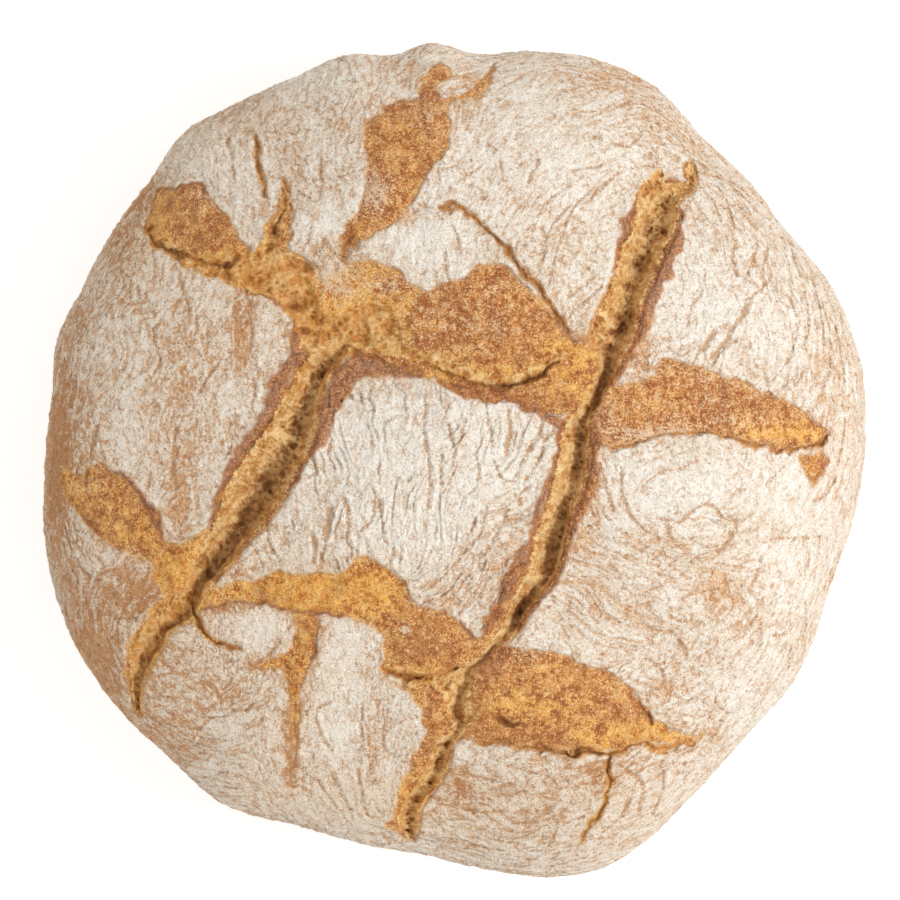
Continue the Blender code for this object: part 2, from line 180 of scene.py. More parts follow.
STRANDS = [
    [(594, 329), (606, 319), (620, 312), (637, 303)], [(612, 285), (625, 283), (641, 284)],
    [(616, 297), (630, 296), (643, 301)], [(560, 491), (572, 489), (583, 491)],
    [(528, 577), (540, 575), (549, 570)], [(283, 441), (298, 441), (317, 437)],
    [(296, 372), (308, 378), (324, 380)], [(262, 436), (270, 424), (290, 412)],
    [(313, 404), (306, 420), (300, 436)], [(306, 340), (312, 350), (318, 343)],
    [(446, 731), (452, 734), (461, 731)], [(320, 360), (331, 370), (322, 382)],
    [(345, 312), (360, 303), (378, 296)], [(262, 470), (276, 462), (292, 452)],
]
print(len(PITS), "pits and", len(STRANDS), "strands")

# %% Torn fields: rough golden crumb with no one channel, closed outlines in pixels
TORN_FIELDS = [
    [(150, 238), (165, 250), (180, 258), (192, 268), (208, 277), (225, 281), (243, 280), (247, 290),
     (256, 292), (270, 297), (282, 303), (290, 318), (300, 335), (300, 350), (312, 352), (330, 350),
     (345, 348), (360, 350), (380, 352), (400, 355), (425, 362), (450, 371), (475, 383), (500, 392),
     (512, 392), (525, 388), (540, 378), (553, 366), (562, 352), (556, 345), (546, 356), (532, 366),
     (515, 374), (495, 378), (470, 370), (450, 362), (425, 350), (405, 342), (398, 325), (392, 310),
     (380, 302), (365, 300), (350, 305), (335, 312), (325, 312), (318, 298), (312, 280), (312, 265),
     (300, 258), (288, 252), (280, 245), (284, 230), (290, 212), (288, 195), (282, 185), (278, 200),
     (275, 215), (262, 228), (258, 245), (245, 258), (228, 262), (205, 258), (185, 248), (165, 242)],
    [(438, 690), (447, 705), (452, 728), (448, 745), (462, 735), (480, 712), (470, 700), (474, 684),
     (462, 668), (440, 676), (415, 668), (388, 664), (384, 672), (410, 684), (430, 684)],
    [(638, 196), (645, 182), (654, 173), (661, 168), (664, 178), (666, 187), (672, 193), (672, 205),
     (660, 212), (645, 214), (634, 216)],
    [(160, 600), (182, 590), (192, 606), (182, 616), (160, 622), (140, 626), (150, 612)],
]
print(len(TORN_FIELDS), "torn fields")

# %% [markdown]
# Between the cuts the floured skin tore off in whole patches, and the dough under it browned
# bare. Their edges, the rims that burnt, the wrinkles and the drifts of flour are read off the
# photograph and written in its pixels, each with only the points that its shape needs.

# %% Bare fields: closed outlines in pixels of the photograph
BARE_FIELDS = {
    "back": [
        (362, 130), (365, 119), (380, 112), (386, 104), (400, 100), (418, 97), (419, 84), (426, 74),
        (433, 65), (441, 62), (449, 67), (452, 76), (443, 82), (436, 88), (440, 96), (450, 102),
        (450, 125), (449, 145), (438, 160), (427, 174), (420, 186), (416, 199), (406, 212), (396, 222),
        (380, 231), (362, 240), (352, 250), (345, 262), (338, 257), (340, 240), (345, 225), (355, 214),
        (361, 200), (362, 182), (369, 166), (366, 150),
    ],
    "back notch": [
        (498, 63), (486, 72), (478, 80), (472, 90), (460, 97), (442, 97), (448, 103), (475, 101),
        (484, 90), (492, 76),
    ],
    "back left": [
        (157, 190), (170, 187), (180, 184), (195, 182), (204, 186), (208, 196), (216, 205), (226, 214),
        (234, 224), (240, 236), (248, 246), (252, 257), (240, 262), (225, 268), (212, 276), (198, 272),
        (188, 266), (172, 257), (160, 250), (150, 243), (146, 231), (148, 216), (153, 201),
    ],
    "middle": [
        (228, 262), (245, 255), (262, 256), (268, 245), (262, 230), (274, 214), (276, 202), (282, 180),
        (288, 190), (292, 206), (292, 225), (289, 240), (292, 250), (305, 258), (318, 266), (320, 280),
        (330, 272), (345, 264), (358, 258), (378, 260), (392, 266), (402, 274), (414, 286), (428, 292),
        (440, 284), (456, 279), (472, 272), (486, 263), (497, 261), (508, 267), (518, 276), (528, 288),
        (545, 303), (556, 318), (566, 334), (578, 341), (592, 347), (600, 350), (597, 385), (588, 405),
        (572, 415), (556, 414), (545, 410), (520, 410), (508, 402), (486, 403), (470, 400), (452, 395),
        (440, 386), (430, 380), (418, 374), (400, 366), (385, 360), (362, 352), (345, 356), (325, 352),
        (305, 340), (295, 330), (290, 318), (285, 308), (272, 300), (258, 294), (246, 290), (232, 284),
        (215, 278),
    ],
    "right": [
        (603, 384), (625, 381), (645, 378), (655, 370), (660, 362), (668, 358), (680, 362), (700, 368),
        (722, 374), (745, 380), (756, 388), (775, 394), (790, 402), (803, 412), (816, 422), (826, 428),
        (828, 436), (824, 444), (802, 448), (780, 447), (755, 445), (735, 438), (700, 434), (680, 428),
        (668, 431), (655, 436), (640, 441), (618, 443), (600, 447), (590, 440), (590, 415),
    ],
    "right notch": [
        (800, 455), (822, 452), (830, 460), (822, 475), (810, 486), (804, 472),
    ],
    "front centre": [
        (203, 583), (220, 584), (234, 576), (255, 578), (280, 571), (300, 572), (325, 571), (338, 574),
        (346, 566), (354, 556), (366, 556), (384, 562), (396, 572), (402, 584), (408, 597), (425, 607),
        (445, 612), (460, 620), (468, 628), (478, 636), (484, 633), (490, 620), (500, 603), (512, 592),
        (505, 620), (490, 642), (474, 662), (455, 672), (430, 673), (402, 674), (386, 668), (384, 650),
        (381, 634), (370, 626), (358, 619), (345, 612), (328, 613), (312, 616), (296, 612), (275, 606),
        (250, 603), (225, 603), (205, 608), (197, 600),
    ],
    "front right": [
        (472, 668), (482, 655), (498, 642), (512, 646), (540, 651), (562, 655), (590, 665), (614, 672),
        (632, 690), (642, 700), (650, 716), (662, 724), (678, 733), (705, 733), (690, 743), (664, 742),
        (636, 743), (612, 752), (575, 757), (540, 750), (502, 743), (466, 739), (460, 724), (462, 700),
        (470, 685),
    ],
    "front": [
        (388, 682), (406, 686), (412, 700), (420, 712), (424, 728), (420, 745), (408, 768), (399, 790),
        (392, 812), (386, 826), (396, 834), (404, 815), (415, 785), (432, 758), (450, 732), (455, 705),
        (452, 688), (430, 682),
    ],
    "front branch": [
        (296, 612), (312, 614), (319, 628), (316, 645), (312, 660), (306, 676), (301, 696), (297, 720),
        (293, 745), (290, 728), (291, 706), (289, 686), (282, 672), (268, 667), (256, 667), (264, 662),
        (280, 657), (290, 646), (294, 630),
    ],
    "left": [
        (62, 468), (78, 473), (90, 466), (104, 466), (122, 476), (138, 490), (148, 506), (156, 525),
        (166, 542), (180, 544), (196, 532), (206, 524), (202, 545), (192, 575), (182, 600), (165, 600),
        (160, 585), (150, 565), (138, 560), (118, 550), (100, 537), (86, 523), (74, 506), (62, 490),
    ],
}
print(len(BARE_FIELDS), "bare fields")

# %% Burnt rims: how far each reaches under the tear beside it, then column, row and half width, in pixels
BURNT_RIMS = [
    (-2.5, [(684, 212, 3), (680, 224, 8), (677, 235, 9.5), (673, 250, 11), (666, 262, 11.5),
     (662, 275, 10), (656, 288, 8.5), (651, 300, 8), (647, 315, 7), (642, 330, 7), (634, 345, 5),
     (627, 358, 6), (620, 370, 6), (616, 381, 4)]),
    (2.5, [(641, 190, 2), (635, 203, 4), (629, 216, 6), (624, 230, 6.5), (621, 243, 5), (617, 255, 3),
     (612, 270, 1.5)]),
    (-2.5, [(424, 373, 4), (410, 371, 5), (394, 369, 9), (378, 367, 13), (364, 366, 15), (350, 373, 15),
     (340, 387, 13), (333, 402, 11), (328, 417, 9), (323, 431, 7), (314, 449, 4.5), (306, 462, 3),
     (300, 474, 2.5), (290, 486, 3), (276, 500, 3), (262, 514, 3), (250, 528, 3), (238, 545, 3),
     (226, 560, 3), (215, 574, 3)]),
    (3.5, [(291, 312, 3), (296, 330, 5), (294, 346, 6), (290, 358, 6), (281, 372, 8), (275, 386, 9),
     (269, 400, 9), (266, 412, 8), (258, 426, 7), (247, 440, 6), (238, 452, 5), (230, 463, 4),
     (224, 474, 2.5), (219, 487, 2.5), (215, 500, 3), (211, 512, 3), (207, 524, 2.5)]),
    (2.5, [(560, 425, 3), (558, 445, 2.5), (554, 465, 2), (547, 483, 2.5), (538, 500, 2.5),
     (534, 515, 3), (530, 530, 3), (526, 545, 5), (518, 558, 8), (512, 572, 9), (505, 588, 8),
     (498, 602, 7), (490, 616, 6), (482, 628, 4)]),
    (-2.5, [(590, 420, 5), (596, 440, 8), (594, 460, 9), (592, 475, 9), (588, 490, 9), (580, 505, 9),
     (576, 520, 7), (570, 540, 5), (564, 560, 4), (555, 578, 4), (545, 592, 3.5), (530, 612, 3),
     (520, 628, 3)]),
    (0, [(508, 648, 4), (497, 658, 9), (486, 668, 7)]),
    (0, [(438, 382, 3), (455, 389, 5), (470, 393, 7), (488, 396, 6), (505, 399, 5), (520, 405, 5),
     (535, 409, 6), (548, 416, 6), (560, 421, 6), (566, 430, 4)]),
    (0, [(298, 344, 5), (308, 356, 7), (298, 368, 7)]),
    (0, [(460, 618, 1.5), (468, 627, 3), (476, 636, 3)]),
    (0, [(104, 466, 1), (124, 477, 3), (140, 491, 4), (150, 508, 4), (157, 526, 3), (163, 545, 2)]),
    (0, [(158, 189, 2), (172, 186, 2.5), (185, 185, 2.5), (200, 183, 3), (206, 192, 2)]),
    (0, [(203, 607, 2), (235, 603, 2), (262, 604, 3), (290, 608, 2), (312, 614, 3), (330, 613, 2.5),
     (345, 612, 2)]),
    (0, [(304, 622, 3), (312, 640, 2), (316, 655, 3)]),
    (0, [(556, 318, 2), (566, 334, 3), (575, 343, 3)]),
    (0, [(246, 290, 3), (262, 293, 1.5), (280, 303, 3)]),
]
print(len(BURNT_RIMS), "burnt rims")

# %% Wrinkles by plate: half width in millimetres, then the route in pixels
WRINKLES = {
    "back plate": [
        (0.35, [(660, 168), (640, 166), (620, 172), (605, 183), (590, 198), (582, 204)]),
        (0.3, [(590, 190), (575, 205), (565, 222), (558, 245), (552, 270), (548, 285)]),
        (0.25, [(570, 205), (552, 222), (545, 245), (541, 268)]),
        (0.25, [(600, 165), (585, 168), (572, 172)]),
        (0.2, [(582, 178), (560, 190), (545, 203), (540, 212)]),
        (0.3, [(538, 160), (532, 172), (528, 182)]),
        (0.2, [(503, 180), (500, 160), (496, 150), (488, 145)]),
        (0.2, [(480, 165), (470, 172), (455, 181)]),
        (0.3, [(600, 285), (590, 296), (575, 308), (565, 320)]),
        (0.3, [(595, 275), (583, 285), (570, 297)]), (0.3, [(648, 155), (655, 148), (665, 143)]),
        (0.35, [(645, 125), (638, 136), (628, 146), (612, 144)]),
        (0.3, [(656, 166), (657, 155), (650, 148)]), (0.3, [(582, 139), (592, 137), (600, 140)]),
        (0.3, [(620, 106), (640, 103), (660, 112), (680, 125), (700, 140)]),
        (0.25, [(640, 118), (660, 126), (680, 140), (684, 152)]),
        (0.3, [(690, 158), (715, 170), (745, 188), (762, 202)]),
        (0.3, [(695, 172), (720, 178), (745, 195), (758, 212)]),
        (0.2, [(435, 172), (455, 165), (470, 160)]), (0.2, [(470, 202), (480, 199), (488, 196)]),
    ],
    "crown piece": [
        (0.25, [(452, 225), (458, 240), (462, 252)]), (0.6, [(445, 252), (445, 268), (448, 282)]),
        (0.3, [(440, 218), (432, 208), (420, 205)]),
    ],
    "right plate": [
        (0.3, [(735, 240), (732, 255), (736, 275)]), (0.35, [(757, 245), (752, 262), (745, 280)]),
        (0.45, [(768, 248), (764, 262)]), (0.4, [(770, 278), (760, 290), (745, 300)]),
        (0.9, [(750, 302), (735, 325), (722, 345), (712, 358)]),
        (0.9, [(725, 322), (712, 335), (702, 350)]), (0.3, [(735, 340), (722, 352), (714, 362)]),
        (0.25, [(790, 300), (798, 320), (795, 340), (788, 360), (780, 372)]),
        (0.3, [(803, 285), (808, 315), (806, 340)]), (0.3, [(810, 275), (820, 310), (823, 350)]),
        (0.35, [(822, 300), (829, 330), (830, 360), (828, 380)]),
        (0.35, [(836, 330), (842, 360), (844, 380)]),
        (0.3, [(668, 348), (680, 355), (690, 350), (700, 345)]),
        (0.25, [(755, 365), (765, 372), (768, 385)]), (0.25, [(790, 385), (800, 378), (806, 365)]),
        (0.25, [(720, 190), (730, 210), (733, 235)]), (0.25, [(704, 192), (714, 204), (720, 220)]),
        (0.25, [(790, 245), (795, 262), (800, 275)]), (0.25, [(700, 295), (690, 310), (686, 325)]),
        (0.25, [(770, 232), (778, 236), (786, 240)]),
    ],
    "front right plate": [
        (0.25, [(602, 470), (606, 490), (612, 510)]),
        (0.45, [(620, 470), (622, 495), (630, 515), (645, 530), (655, 535)]),
        (0.35, [(640, 490), (650, 478), (665, 470), (680, 468), (695, 460)]),
        (0.4, [(660, 520), (680, 520), (690, 512), (705, 505), (715, 508), (722, 518), (735, 520)]),
        (0.6, [(665, 520), (668, 535), (678, 545)]), (0.7, [(735, 525), (728, 540), (718, 552)]),
        (0.3, [(765, 485), (775, 475), (785, 465)]), (0.3, [(728, 496), (738, 490), (748, 488)]),
        (0.4, [(690, 560), (705, 552), (715, 545)]), (0.3, [(765, 542), (790, 537), (820, 537)]),
        (0.35, [(640, 595), (660, 585), (670, 577)]), (0.4, [(668, 614), (680, 621), (700, 621)]),
        (0.45, [(642, 620), (655, 630), (670, 632), (682, 645), (686, 656)]),
        (0.3, [(700, 655), (712, 648), (718, 640)]), (0.35, [(730, 640), (745, 630), (755, 615)]),
        (0.3, [(760, 560), (755, 575), (750, 592)]), (0.4, [(845, 420), (843, 440), (838, 462)]),
        (0.3, [(835, 480), (826, 495), (815, 500)]),
        (0.3, [(650, 660), (662, 670), (664, 690), (680, 697)]),
        (0.35, [(715, 695), (718, 706), (728, 712)]), (0.3, [(805, 600), (806, 620), (802, 640)]),
        (0.3, [(770, 636), (785, 634), (795, 625)]),
    ],
    "centre plate": [
        (0.25, [(360, 395), (362, 410)]), (0.25, [(368, 425), (372, 445)]),
        (0.5, [(425, 405), (423, 430), (427, 455), (430, 480), (428, 505)]),
        (0.3, [(447, 405), (442, 420)]), (0.35, [(448, 425), (452, 445), (452, 470)]),
        (0.3, [(465, 420), (460, 435), (455, 450)]),
        (0.35, [(440, 455), (440, 480), (445, 490), (455, 465)]),
        (0.35, [(485, 405), (490, 430), (492, 445)]), (0.6, [(508, 410), (510, 430), (506, 455)]),
        (0.35, [(540, 420), (538, 435), (525, 455), (515, 475)]),
        (0.35, [(553, 430), (545, 440), (538, 460), (525, 480)]),
        (0.3, [(530, 485), (520, 495), (518, 505)]),
        (0.35, [(487, 510), (480, 530), (470, 545), (460, 555)]),
        (0.3, [(505, 515), (495, 535), (482, 555)]), (0.25, [(475, 520), (468, 535)]),
        (0.3, [(440, 580), (450, 570), (460, 558)]),
        (0.45, [(345, 500), (348, 520), (346, 540), (355, 550)]),
        (0.3, [(372, 485), (375, 500), (370, 520), (360, 530)]),
        (0.3, [(378, 500), (382, 520), (385, 540)]),
        (1.1, [(330, 510), (326, 530), (322, 550), (321, 564)]),
        (0.6, [(312, 535), (315, 548), (312, 562)]), (0.3, [(312, 455), (316, 470), (320, 490)]),
        (0.35, [(330, 440), (328, 455), (335, 468)]),
        (0.3, [(268, 520), (268, 535), (272, 550), (280, 560)]),
        (0.25, [(250, 545), (258, 555), (262, 565)]), (0.25, [(495, 465), (500, 478), (515, 480)]),
        (0.25, [(475, 455), (478, 470), (476, 485)]),
    ],
    "left plate": [
        (0.4, [(160, 320), (153, 330), (156, 345), (160, 360), (155, 372)]),
        (0.35, [(180, 278), (185, 295), (188, 310)]),
        (0.5, [(250, 300), (248, 315), (252, 330), (248, 350)]),
        (0.3, [(262, 330), (272, 325), (280, 320)]), (0.25, [(254, 365), (260, 372), (272, 368)]),
        (0.4, [(220, 360), (210, 372), (200, 390)]), (0.3, [(253, 378), (255, 395), (250, 412)]),
        (0.7, [(98, 425), (93, 440), (90, 458)]), (0.4, [(150, 472), (148, 486)]),
        (0.3, [(165, 478), (160, 490)]), (0.9, [(176, 428), (174, 450), (173, 475), (176, 487)]),
        (0.3, [(232, 445), (224, 458)]), (0.35, [(70, 545), (80, 565), (90, 575), (100, 580)]),
        (0.35, [(100, 585), (115, 595), (130, 600)]), (0.35, [(100, 612), (115, 617), (135, 618)]),
        (0.35, [(60, 500), (65, 525), (70, 545)]), (0.25, [(120, 270), (130, 280), (130, 298)]),
    ],
    "back left plate": [
        (0.8, [(256, 135), (256, 150), (258, 165), (262, 180), (265, 195)]),
        (0.35, [(320, 160), (322, 180), (320, 197)]), (0.3, [(312, 228), (308, 242)]),
        (0.35, [(298, 192), (310, 197), (318, 190)]), (0.45, [(323, 240), (333, 252), (340, 258)]),
        (0.2, [(365, 168), (350, 172), (335, 178)]), (0.25, [(232, 165), (233, 182)]),
        (0.9, [(228, 140), (231, 155)]), (0.3, [(262, 204), (275, 206), (282, 200)]),
    ],
    "front left plate": [
        (0.6, [(145, 712), (160, 722), (180, 727), (200, 729)]),
        (0.35, [(278, 635), (272, 652), (258, 661), (246, 656)]),
        (0.35, [(255, 700), (245, 710), (225, 708)]), (0.4, [(206, 682), (216, 690), (220, 704)]),
        (0.4, [(330, 702), (315, 712), (320, 735), (330, 750)]),
        (0.45, [(385, 720), (383, 740), (388, 752), (398, 757)]),
        (0.4, [(398, 724), (406, 718), (415, 717)]), (0.35, [(362, 705), (360, 725), (362, 745)]),
        (0.35, [(318, 780), (332, 800), (350, 825)]), (0.3, [(332, 775), (342, 795), (352, 810)]),
        (0.35, [(358, 770), (361, 795), (367, 815), (378, 817)]),
        (0.7, [(296, 690), (293, 715), (296, 740), (292, 765)]), (0.6, [(303, 775), (303, 790)]),
        (0.4, [(183, 745), (195, 745), (200, 738)]),
    ],
    "front plate": [
        (0.35, [(425, 795), (445, 800), (470, 810), (490, 812), (505, 810)]),
        (0.35, [(430, 815), (445, 830), (470, 843), (500, 850)]),
        (0.3, [(500, 841), (515, 838), (530, 834)]), (0.3, [(460, 770), (480, 778), (500, 782)]),
        (0.4, [(520, 786), (505, 784), (495, 790), (510, 795), (522, 790)]),
        (0.3, [(520, 770), (545, 775), (560, 787)]), (0.3, [(540, 855), (530, 862)]),
        (0.3, [(545, 805), (555, 825), (548, 845)]),
        (0.7, [(620, 765), (637, 778), (643, 792), (638, 810)]), (0.6, [(630, 800), (622, 812)]),
        (0.35, [(662, 770), (662, 790), (652, 812)]), (0.35, [(680, 755), (698, 745), (715, 735)]),
    ],
}
print(sum(len(marks) for marks in WRINKLES.values()), "wrinkles drawn by hand")

# %% Flour drifts: middle and radii in pixels, and how much thicker or thinner the flour lies
# The thin drifts along the left and front-left rim darken that rim: partly bare crust, partly painted shade
# on the side turned away from the lamp.
FLOUR_DRIFTS = [
    (455, 480, 95, 90, 0.24), (340, 480, 45, 80, 0.15), (670, 490, 60, 35, 0.3),
    (690, 300, 50, 60, 0.24), (760, 330, 60, 60, 0.18), (775, 480, 60, 30, 0.18),
    (620, 130, 70, 40, 0.01), (540, 180, 80, 60, 0.13), (420, 240, 45, 38, 0.35),
    (262, 628, 22, 20, 0.45), (340, 650, 20, 36, 0.35), (336, 732, 20, 34, 0.35),
    (325, 225, 28, 25, 0.25), (235, 395, 28, 22, 0.25), (120, 440, 26, 30, 0.15),
    (268, 330, 14, 26, 0.2), (230, 165, 50, 30, 0.15), (750, 700, 40, 40, 0.2),
    (58, 450, 17, 110, -0.42), (96, 430, 20, 60, -0.15), (90, 640, 26, 50, -0.34),
    (118, 235, 20, 44, -0.22), (78, 320, 12, 34, -0.2), (520, 130, 50, 40, 0.16),
    (800, 560, 36, 70, 0.16), (600, 780, 18, 16, -0.26), (322, 632, 12, 14, -0.3),
    (358, 690, 8, 18, 0.16), (230, 420, 20, 30, -0.12), (452, 806, 40, 20, -0.1),
    (620, 150, 50, 40, 0.08), (615, 235, 12, 40, 0.1), (150, 735, 60, 26, -0.22),
    (715, 585, 20, 26, -0.25), (620, 570, 60, 45, -0.06), (585, 480, 16, 60, -0.5),
    (500, 560, 40, 32, -0.26), (450, 600, 34, 18, -0.15), (640, 790, 50, 24, 0.12),
    (345, 800, 70, 40, 0.1), (293, 735, 9, 44, -0.38), (660, 690, 22, 14, -0.3),
    (640, 110, 40, 16, -0.15), (185, 400, 24, 90, -0.18), (290, 165, 16, 30, -0.14),
    (375, 195, 12, 18, 0.75), (340, 290, 26, 22, 0.2), (640, 430, 30, 10, 0.3),
    (410, 125, 18, 12, 0.18), (330, 385, 20, 30, -0.2), (140, 190, 20, 26, -0.35),
    (180, 690, 40, 40, -0.1), (575, 600, 50, 30, -0.05), (610, 440, 20, 14, 0.15),
    (320, 300, 12, 16, 0.25), (838, 360, 18, 110, -0.08), (700, 140, 60, 24, -0.1),
    (600, 78, 70, 16, -0.16), (320, 85, 60, 20, 0.1), (400, 420, 60, 40, 0.16), (520, 430, 50, 60, 0.1),
    (560, 855, 80, 14, 0.05), (242, 340, 12, 42, -0.42), (301, 650, 12, 34, -0.2),
    (292, 765, 7, 22, -0.3), (264, 664, 26, 7, -0.4), (222, 690, 24, 14, -0.25),
    (130, 590, 44, 24, -0.3), (142, 664, 26, 36, -0.12), (398, 72, 36, 12, -0.18),
    (465, 82, 18, 12, -0.25), (590, 768, 60, 8, -0.16), (462, 780, 10, 18, -0.35),
    (372, 745, 7, 36, -0.25), (398, 720, 14, 26, 0.1), (322, 246, 18, 12, -0.25),
    (580, 330, 12, 36, -0.15), (232, 606, 36, 8, -0.35), (238, 570, 14, 9, -0.35),
    (405, 215, 14, 14, -0.45), (716, 720, 8, 26, -0.15), (745, 345, 8, 24, -0.2),
    (180, 505, 12, 36, -0.25), (643, 350, 11, 24, -0.35), (590, 345, 12, 18, -0.35),
    (330, 262, 30, 16, -0.15), (215, 365, 12, 20, -0.2), (420, 540, 60, 30, 0.1),
    (688, 215, 8, 24, -0.2), (225, 728, 18, 12, 0.2), (515, 525, 16, 26, -0.2), (96, 355, 30, 24, 0.08),
    (108, 690, 22, 40, -0.26),
]
print(len(FLOUR_DRIFTS), "flour drifts")

# %% [markdown]
# ## Noise
#
# Bread is uneven at every size, from a thumb's breadth down to a grain of flour. Blender's
# texture nodes could supply that, but the relief has to be real geometry, so the same kind of
# noise is worked out here for whole arrays: each corner of a lattice gets a slope by scrambling
# its whole-number place, and the value between corners is a smooth blend of those slopes.


# %% Gradient noise on arrays of points
def corner_slopes(column, row, layer, seed):
    """Three slopes from -1 to 1 for each lattice corner, scrambled from its place and the seed."""
    mixed = column * np.uint32(374761393) + row * np.uint32(668265263) + layer * np.uint32(2246822519)
    mixed = mixed + np.uint32(seed * 974634777 % 4294967296)
    mixed = (mixed ^ (mixed >> np.uint32(13))) * np.uint32(1274126177)
    mixed = (mixed ^ (mixed >> np.uint32(15))) * np.uint32(2654435761)
    mixed = mixed ^ (mixed >> np.uint32(16))
    bits = [(mixed >> np.uint32(shift)) & np.uint32(1023) for shift in (0, 10, 20)]
    return [share.astype(np.float32) / np.float32(511.5) - 1 for share in bits]


def gradient_noise(points, grain, seed):
    """Smooth noise near -1 to 1 with bumps about one grain wide: slopes blended by s^3(6s^2-15s+10)."""
    place = (np.stack(points, axis=-1) / grain).astype(np.float32)
    base = np.floor(place)
    part = place - base
    ease = part ** 3 * (part * (part * 6 - 15) + 10)
    corner = base.astype(np.int64).astype(np.uint32)
    total = np.zeros(place.shape[:-1], np.float32)
    for dx in (0, 1):
        for dy in (0, 1):
            for dz in (0, 1):
                offset = (dx, dy, dz)
                lattice = [corner[..., axis] + np.uint32(step) for axis, step in enumerate(offset)]
                slopes = corner_slopes(*lattice, seed)
                lean, share = np.zeros_like(total), np.ones_like(total)
                for axis, step in enumerate(offset):
                    lean += slopes[axis] * (part[..., axis] - step)
                    share = share * (ease[..., axis] if step else 1 - ease[..., axis])
                total += share * lean
    return total * 1.5


def rough_noise(points, grain, seed, layers=3):
    """Gradient noise in layers, each half as large and half as strong as the one before."""
    return sum(gradient_noise(points, grain / 2 ** n, seed + n) / 2 ** n for n in range(layers)) / 1.5


def smooth_step(value):
    """0 below 0, 1 above 1, and s^2(3-2s) between."""
    share = np.clip(value, 0, 1)
    return share * share * (3 - 2 * share)


probe = gradient_noise([np.linspace(0, 9, 500), np.zeros(500), np.ones(500) * 0.3], 1.0, 7)
print("noise runs from", probe.min().round(2), "to", probe.max().round(2))

# %% [markdown]
# ## The dome and its grid
#
# A turned dome has a pole where all its quads meet, and they are smallest where nothing happens.
# Here a square grid is carried to the round instead, ring by ring, as a cloth is laid over a
# ball. It has no pole, every quad is about as large, and it cuts into nine square fields that
# each get a texture of their own. Its rows are turned to run with the long tears.

# %% Grid sizes
FIELDS = 3
FIELD_CELLS = 315
GRID_TURN = math.radians(-25)


# %% The outline and the shoulder curve
def outline_radius(angle):
    """The loaf's radius at each compass angle: a closed cubic curve through OUTLINE."""
    corners = np.radians([degrees for degrees, _ in OUTLINE])
    radii = np.array([radius for _, radius in OUTLINE]) * MM
    turns = np.concatenate([corners - 2 * math.pi, corners, corners + 2 * math.pi])
    rounds = np.tile(radii, 3)
    slopes = np.gradient(rounds, turns)
    angle = np.mod(angle, 2 * math.pi)
    after = np.searchsorted(turns, angle)
    span = turns[after] - turns[after - 1]
    part = (angle - turns[after - 1]) / span
    start, end = rounds[after - 1], rounds[after]
    bend_out = part * (1 - part) ** 2 * slopes[after - 1] * span
    bend_in = part ** 2 * (part - 1) * slopes[after] * span
    return start + (end - start) * smooth_step(part) + bend_out + bend_in


def skin_profile(share):
    """Radius share and height at each share of the way from crown to foot, by length along the curve.

    Above the girth r = sin(a)^(2/n) and z = girth + rise cos(a)^(2/n); below it a quarter ellipse.
    """
    turn = np.linspace(0, math.pi / 2, 400)
    top_radius = np.sin(turn) ** (2 / SHOULDER_POWER)
    top_height = GIRTH_HEIGHT + (LOAF_HEIGHT - GIRTH_HEIGHT) * np.cos(turn) ** (2 / SHOULDER_POWER)
    under_radius = FOOT_SHARE + (1 - FOOT_SHARE) * np.cos(turn[1:])
    under_height = GIRTH_HEIGHT * (1 - np.sin(turn[1:]))
    radius = np.concatenate([top_radius, under_radius])
    height = np.concatenate([top_height, under_height])
    steps = np.hypot(np.diff(radius) * MEAN_RADIUS, np.diff(height))
    travelled = np.concatenate([[0], np.cumsum(steps)])
    way = share * travelled[-1]
    return np.interp(way, travelled, radius), np.interp(way, travelled, height)


def grid_to_disc(u, v):
    """Square to disc with areas kept: the larger of |u| and |v| is the radius, their ratio the angle."""
    ring = np.maximum(np.abs(u), np.abs(v))
    steep = np.abs(v) > np.abs(u)
    long_side = np.where(steep, v, u)
    short_side = np.where(steep, u, v)
    swing = math.pi / 4 * short_side / np.where(long_side == 0, 1, long_side)
    angle = np.where(steep, math.pi / 2 - swing, swing) + np.where(long_side < 0, math.pi, 0)
    return ring * np.cos(angle), ring * np.sin(angle)


def dome_point(disc_x, disc_y):
    """The smooth dome over a point of the disc."""
    angle = np.arctan2(disc_y, disc_x)
    radius_share, z = skin_profile(np.clip(np.hypot(disc_x, disc_y), 0, 1))
    radius = radius_share * outline_radius(angle)
    return radius * np.cos(angle), radius * np.sin(angle), z


def plan_point(x, y, z):
    """Where a point shows in the photograph, in millimetres: what is higher lies further out."""
    spread = (CAMERA_HEIGHT - GIRTH_HEIGHT) / (CAMERA_HEIGHT - z)
    return x * spread / MM, y * spread / MM


def flat_of_pixel(column, row):
    """A pixel of the photograph as millimetres right of and behind the loaf's middle."""
    return (column - MIDDLE_PIXEL[0]) * MM_PER_PIXEL, (MIDDLE_PIXEL[1] - row) * MM_PER_PIXEL


# Past the shoulder the plan is rolled out: a step on it is as long as the step on the skin
SHOULDER_SLOPE = 0.75
way_share = np.linspace(0, 1, 1001)
way_radius, way_height = skin_profile(way_share)
way_plan = way_radius * (CAMERA_HEIGHT - GIRTH_HEIGHT) / (CAMERA_HEIGHT - way_height)
way_steps = np.hypot(np.diff(way_radius), np.diff(way_height) / MEAN_RADIUS)
way_length = np.concatenate([[0], np.cumsum(way_steps)])
shoulder = int(np.argmax(np.gradient(way_plan) < SHOULDER_SLOPE * np.gradient(way_length)))
rolled_on = way_plan[shoulder] + way_length - way_length[shoulder]
way_rolled = np.where(way_share < way_share[shoulder], way_plan, rolled_on)
widest = int(np.argmax(way_plan))


def plan_of_pixel(column, row):
    """The same pixel on the rolled-out plan, on the side's upper half where it lies past the shoulder."""
    x, y = flat_of_pixel(column, row)
    share = np.maximum(np.hypot(x, y) / (outline_radius(np.arctan2(y, x)) / MM), 1e-6)
    stretch = np.interp(share, way_plan[:widest + 1], way_rolled[:widest + 1]) / share
    return x * stretch, y * stretch


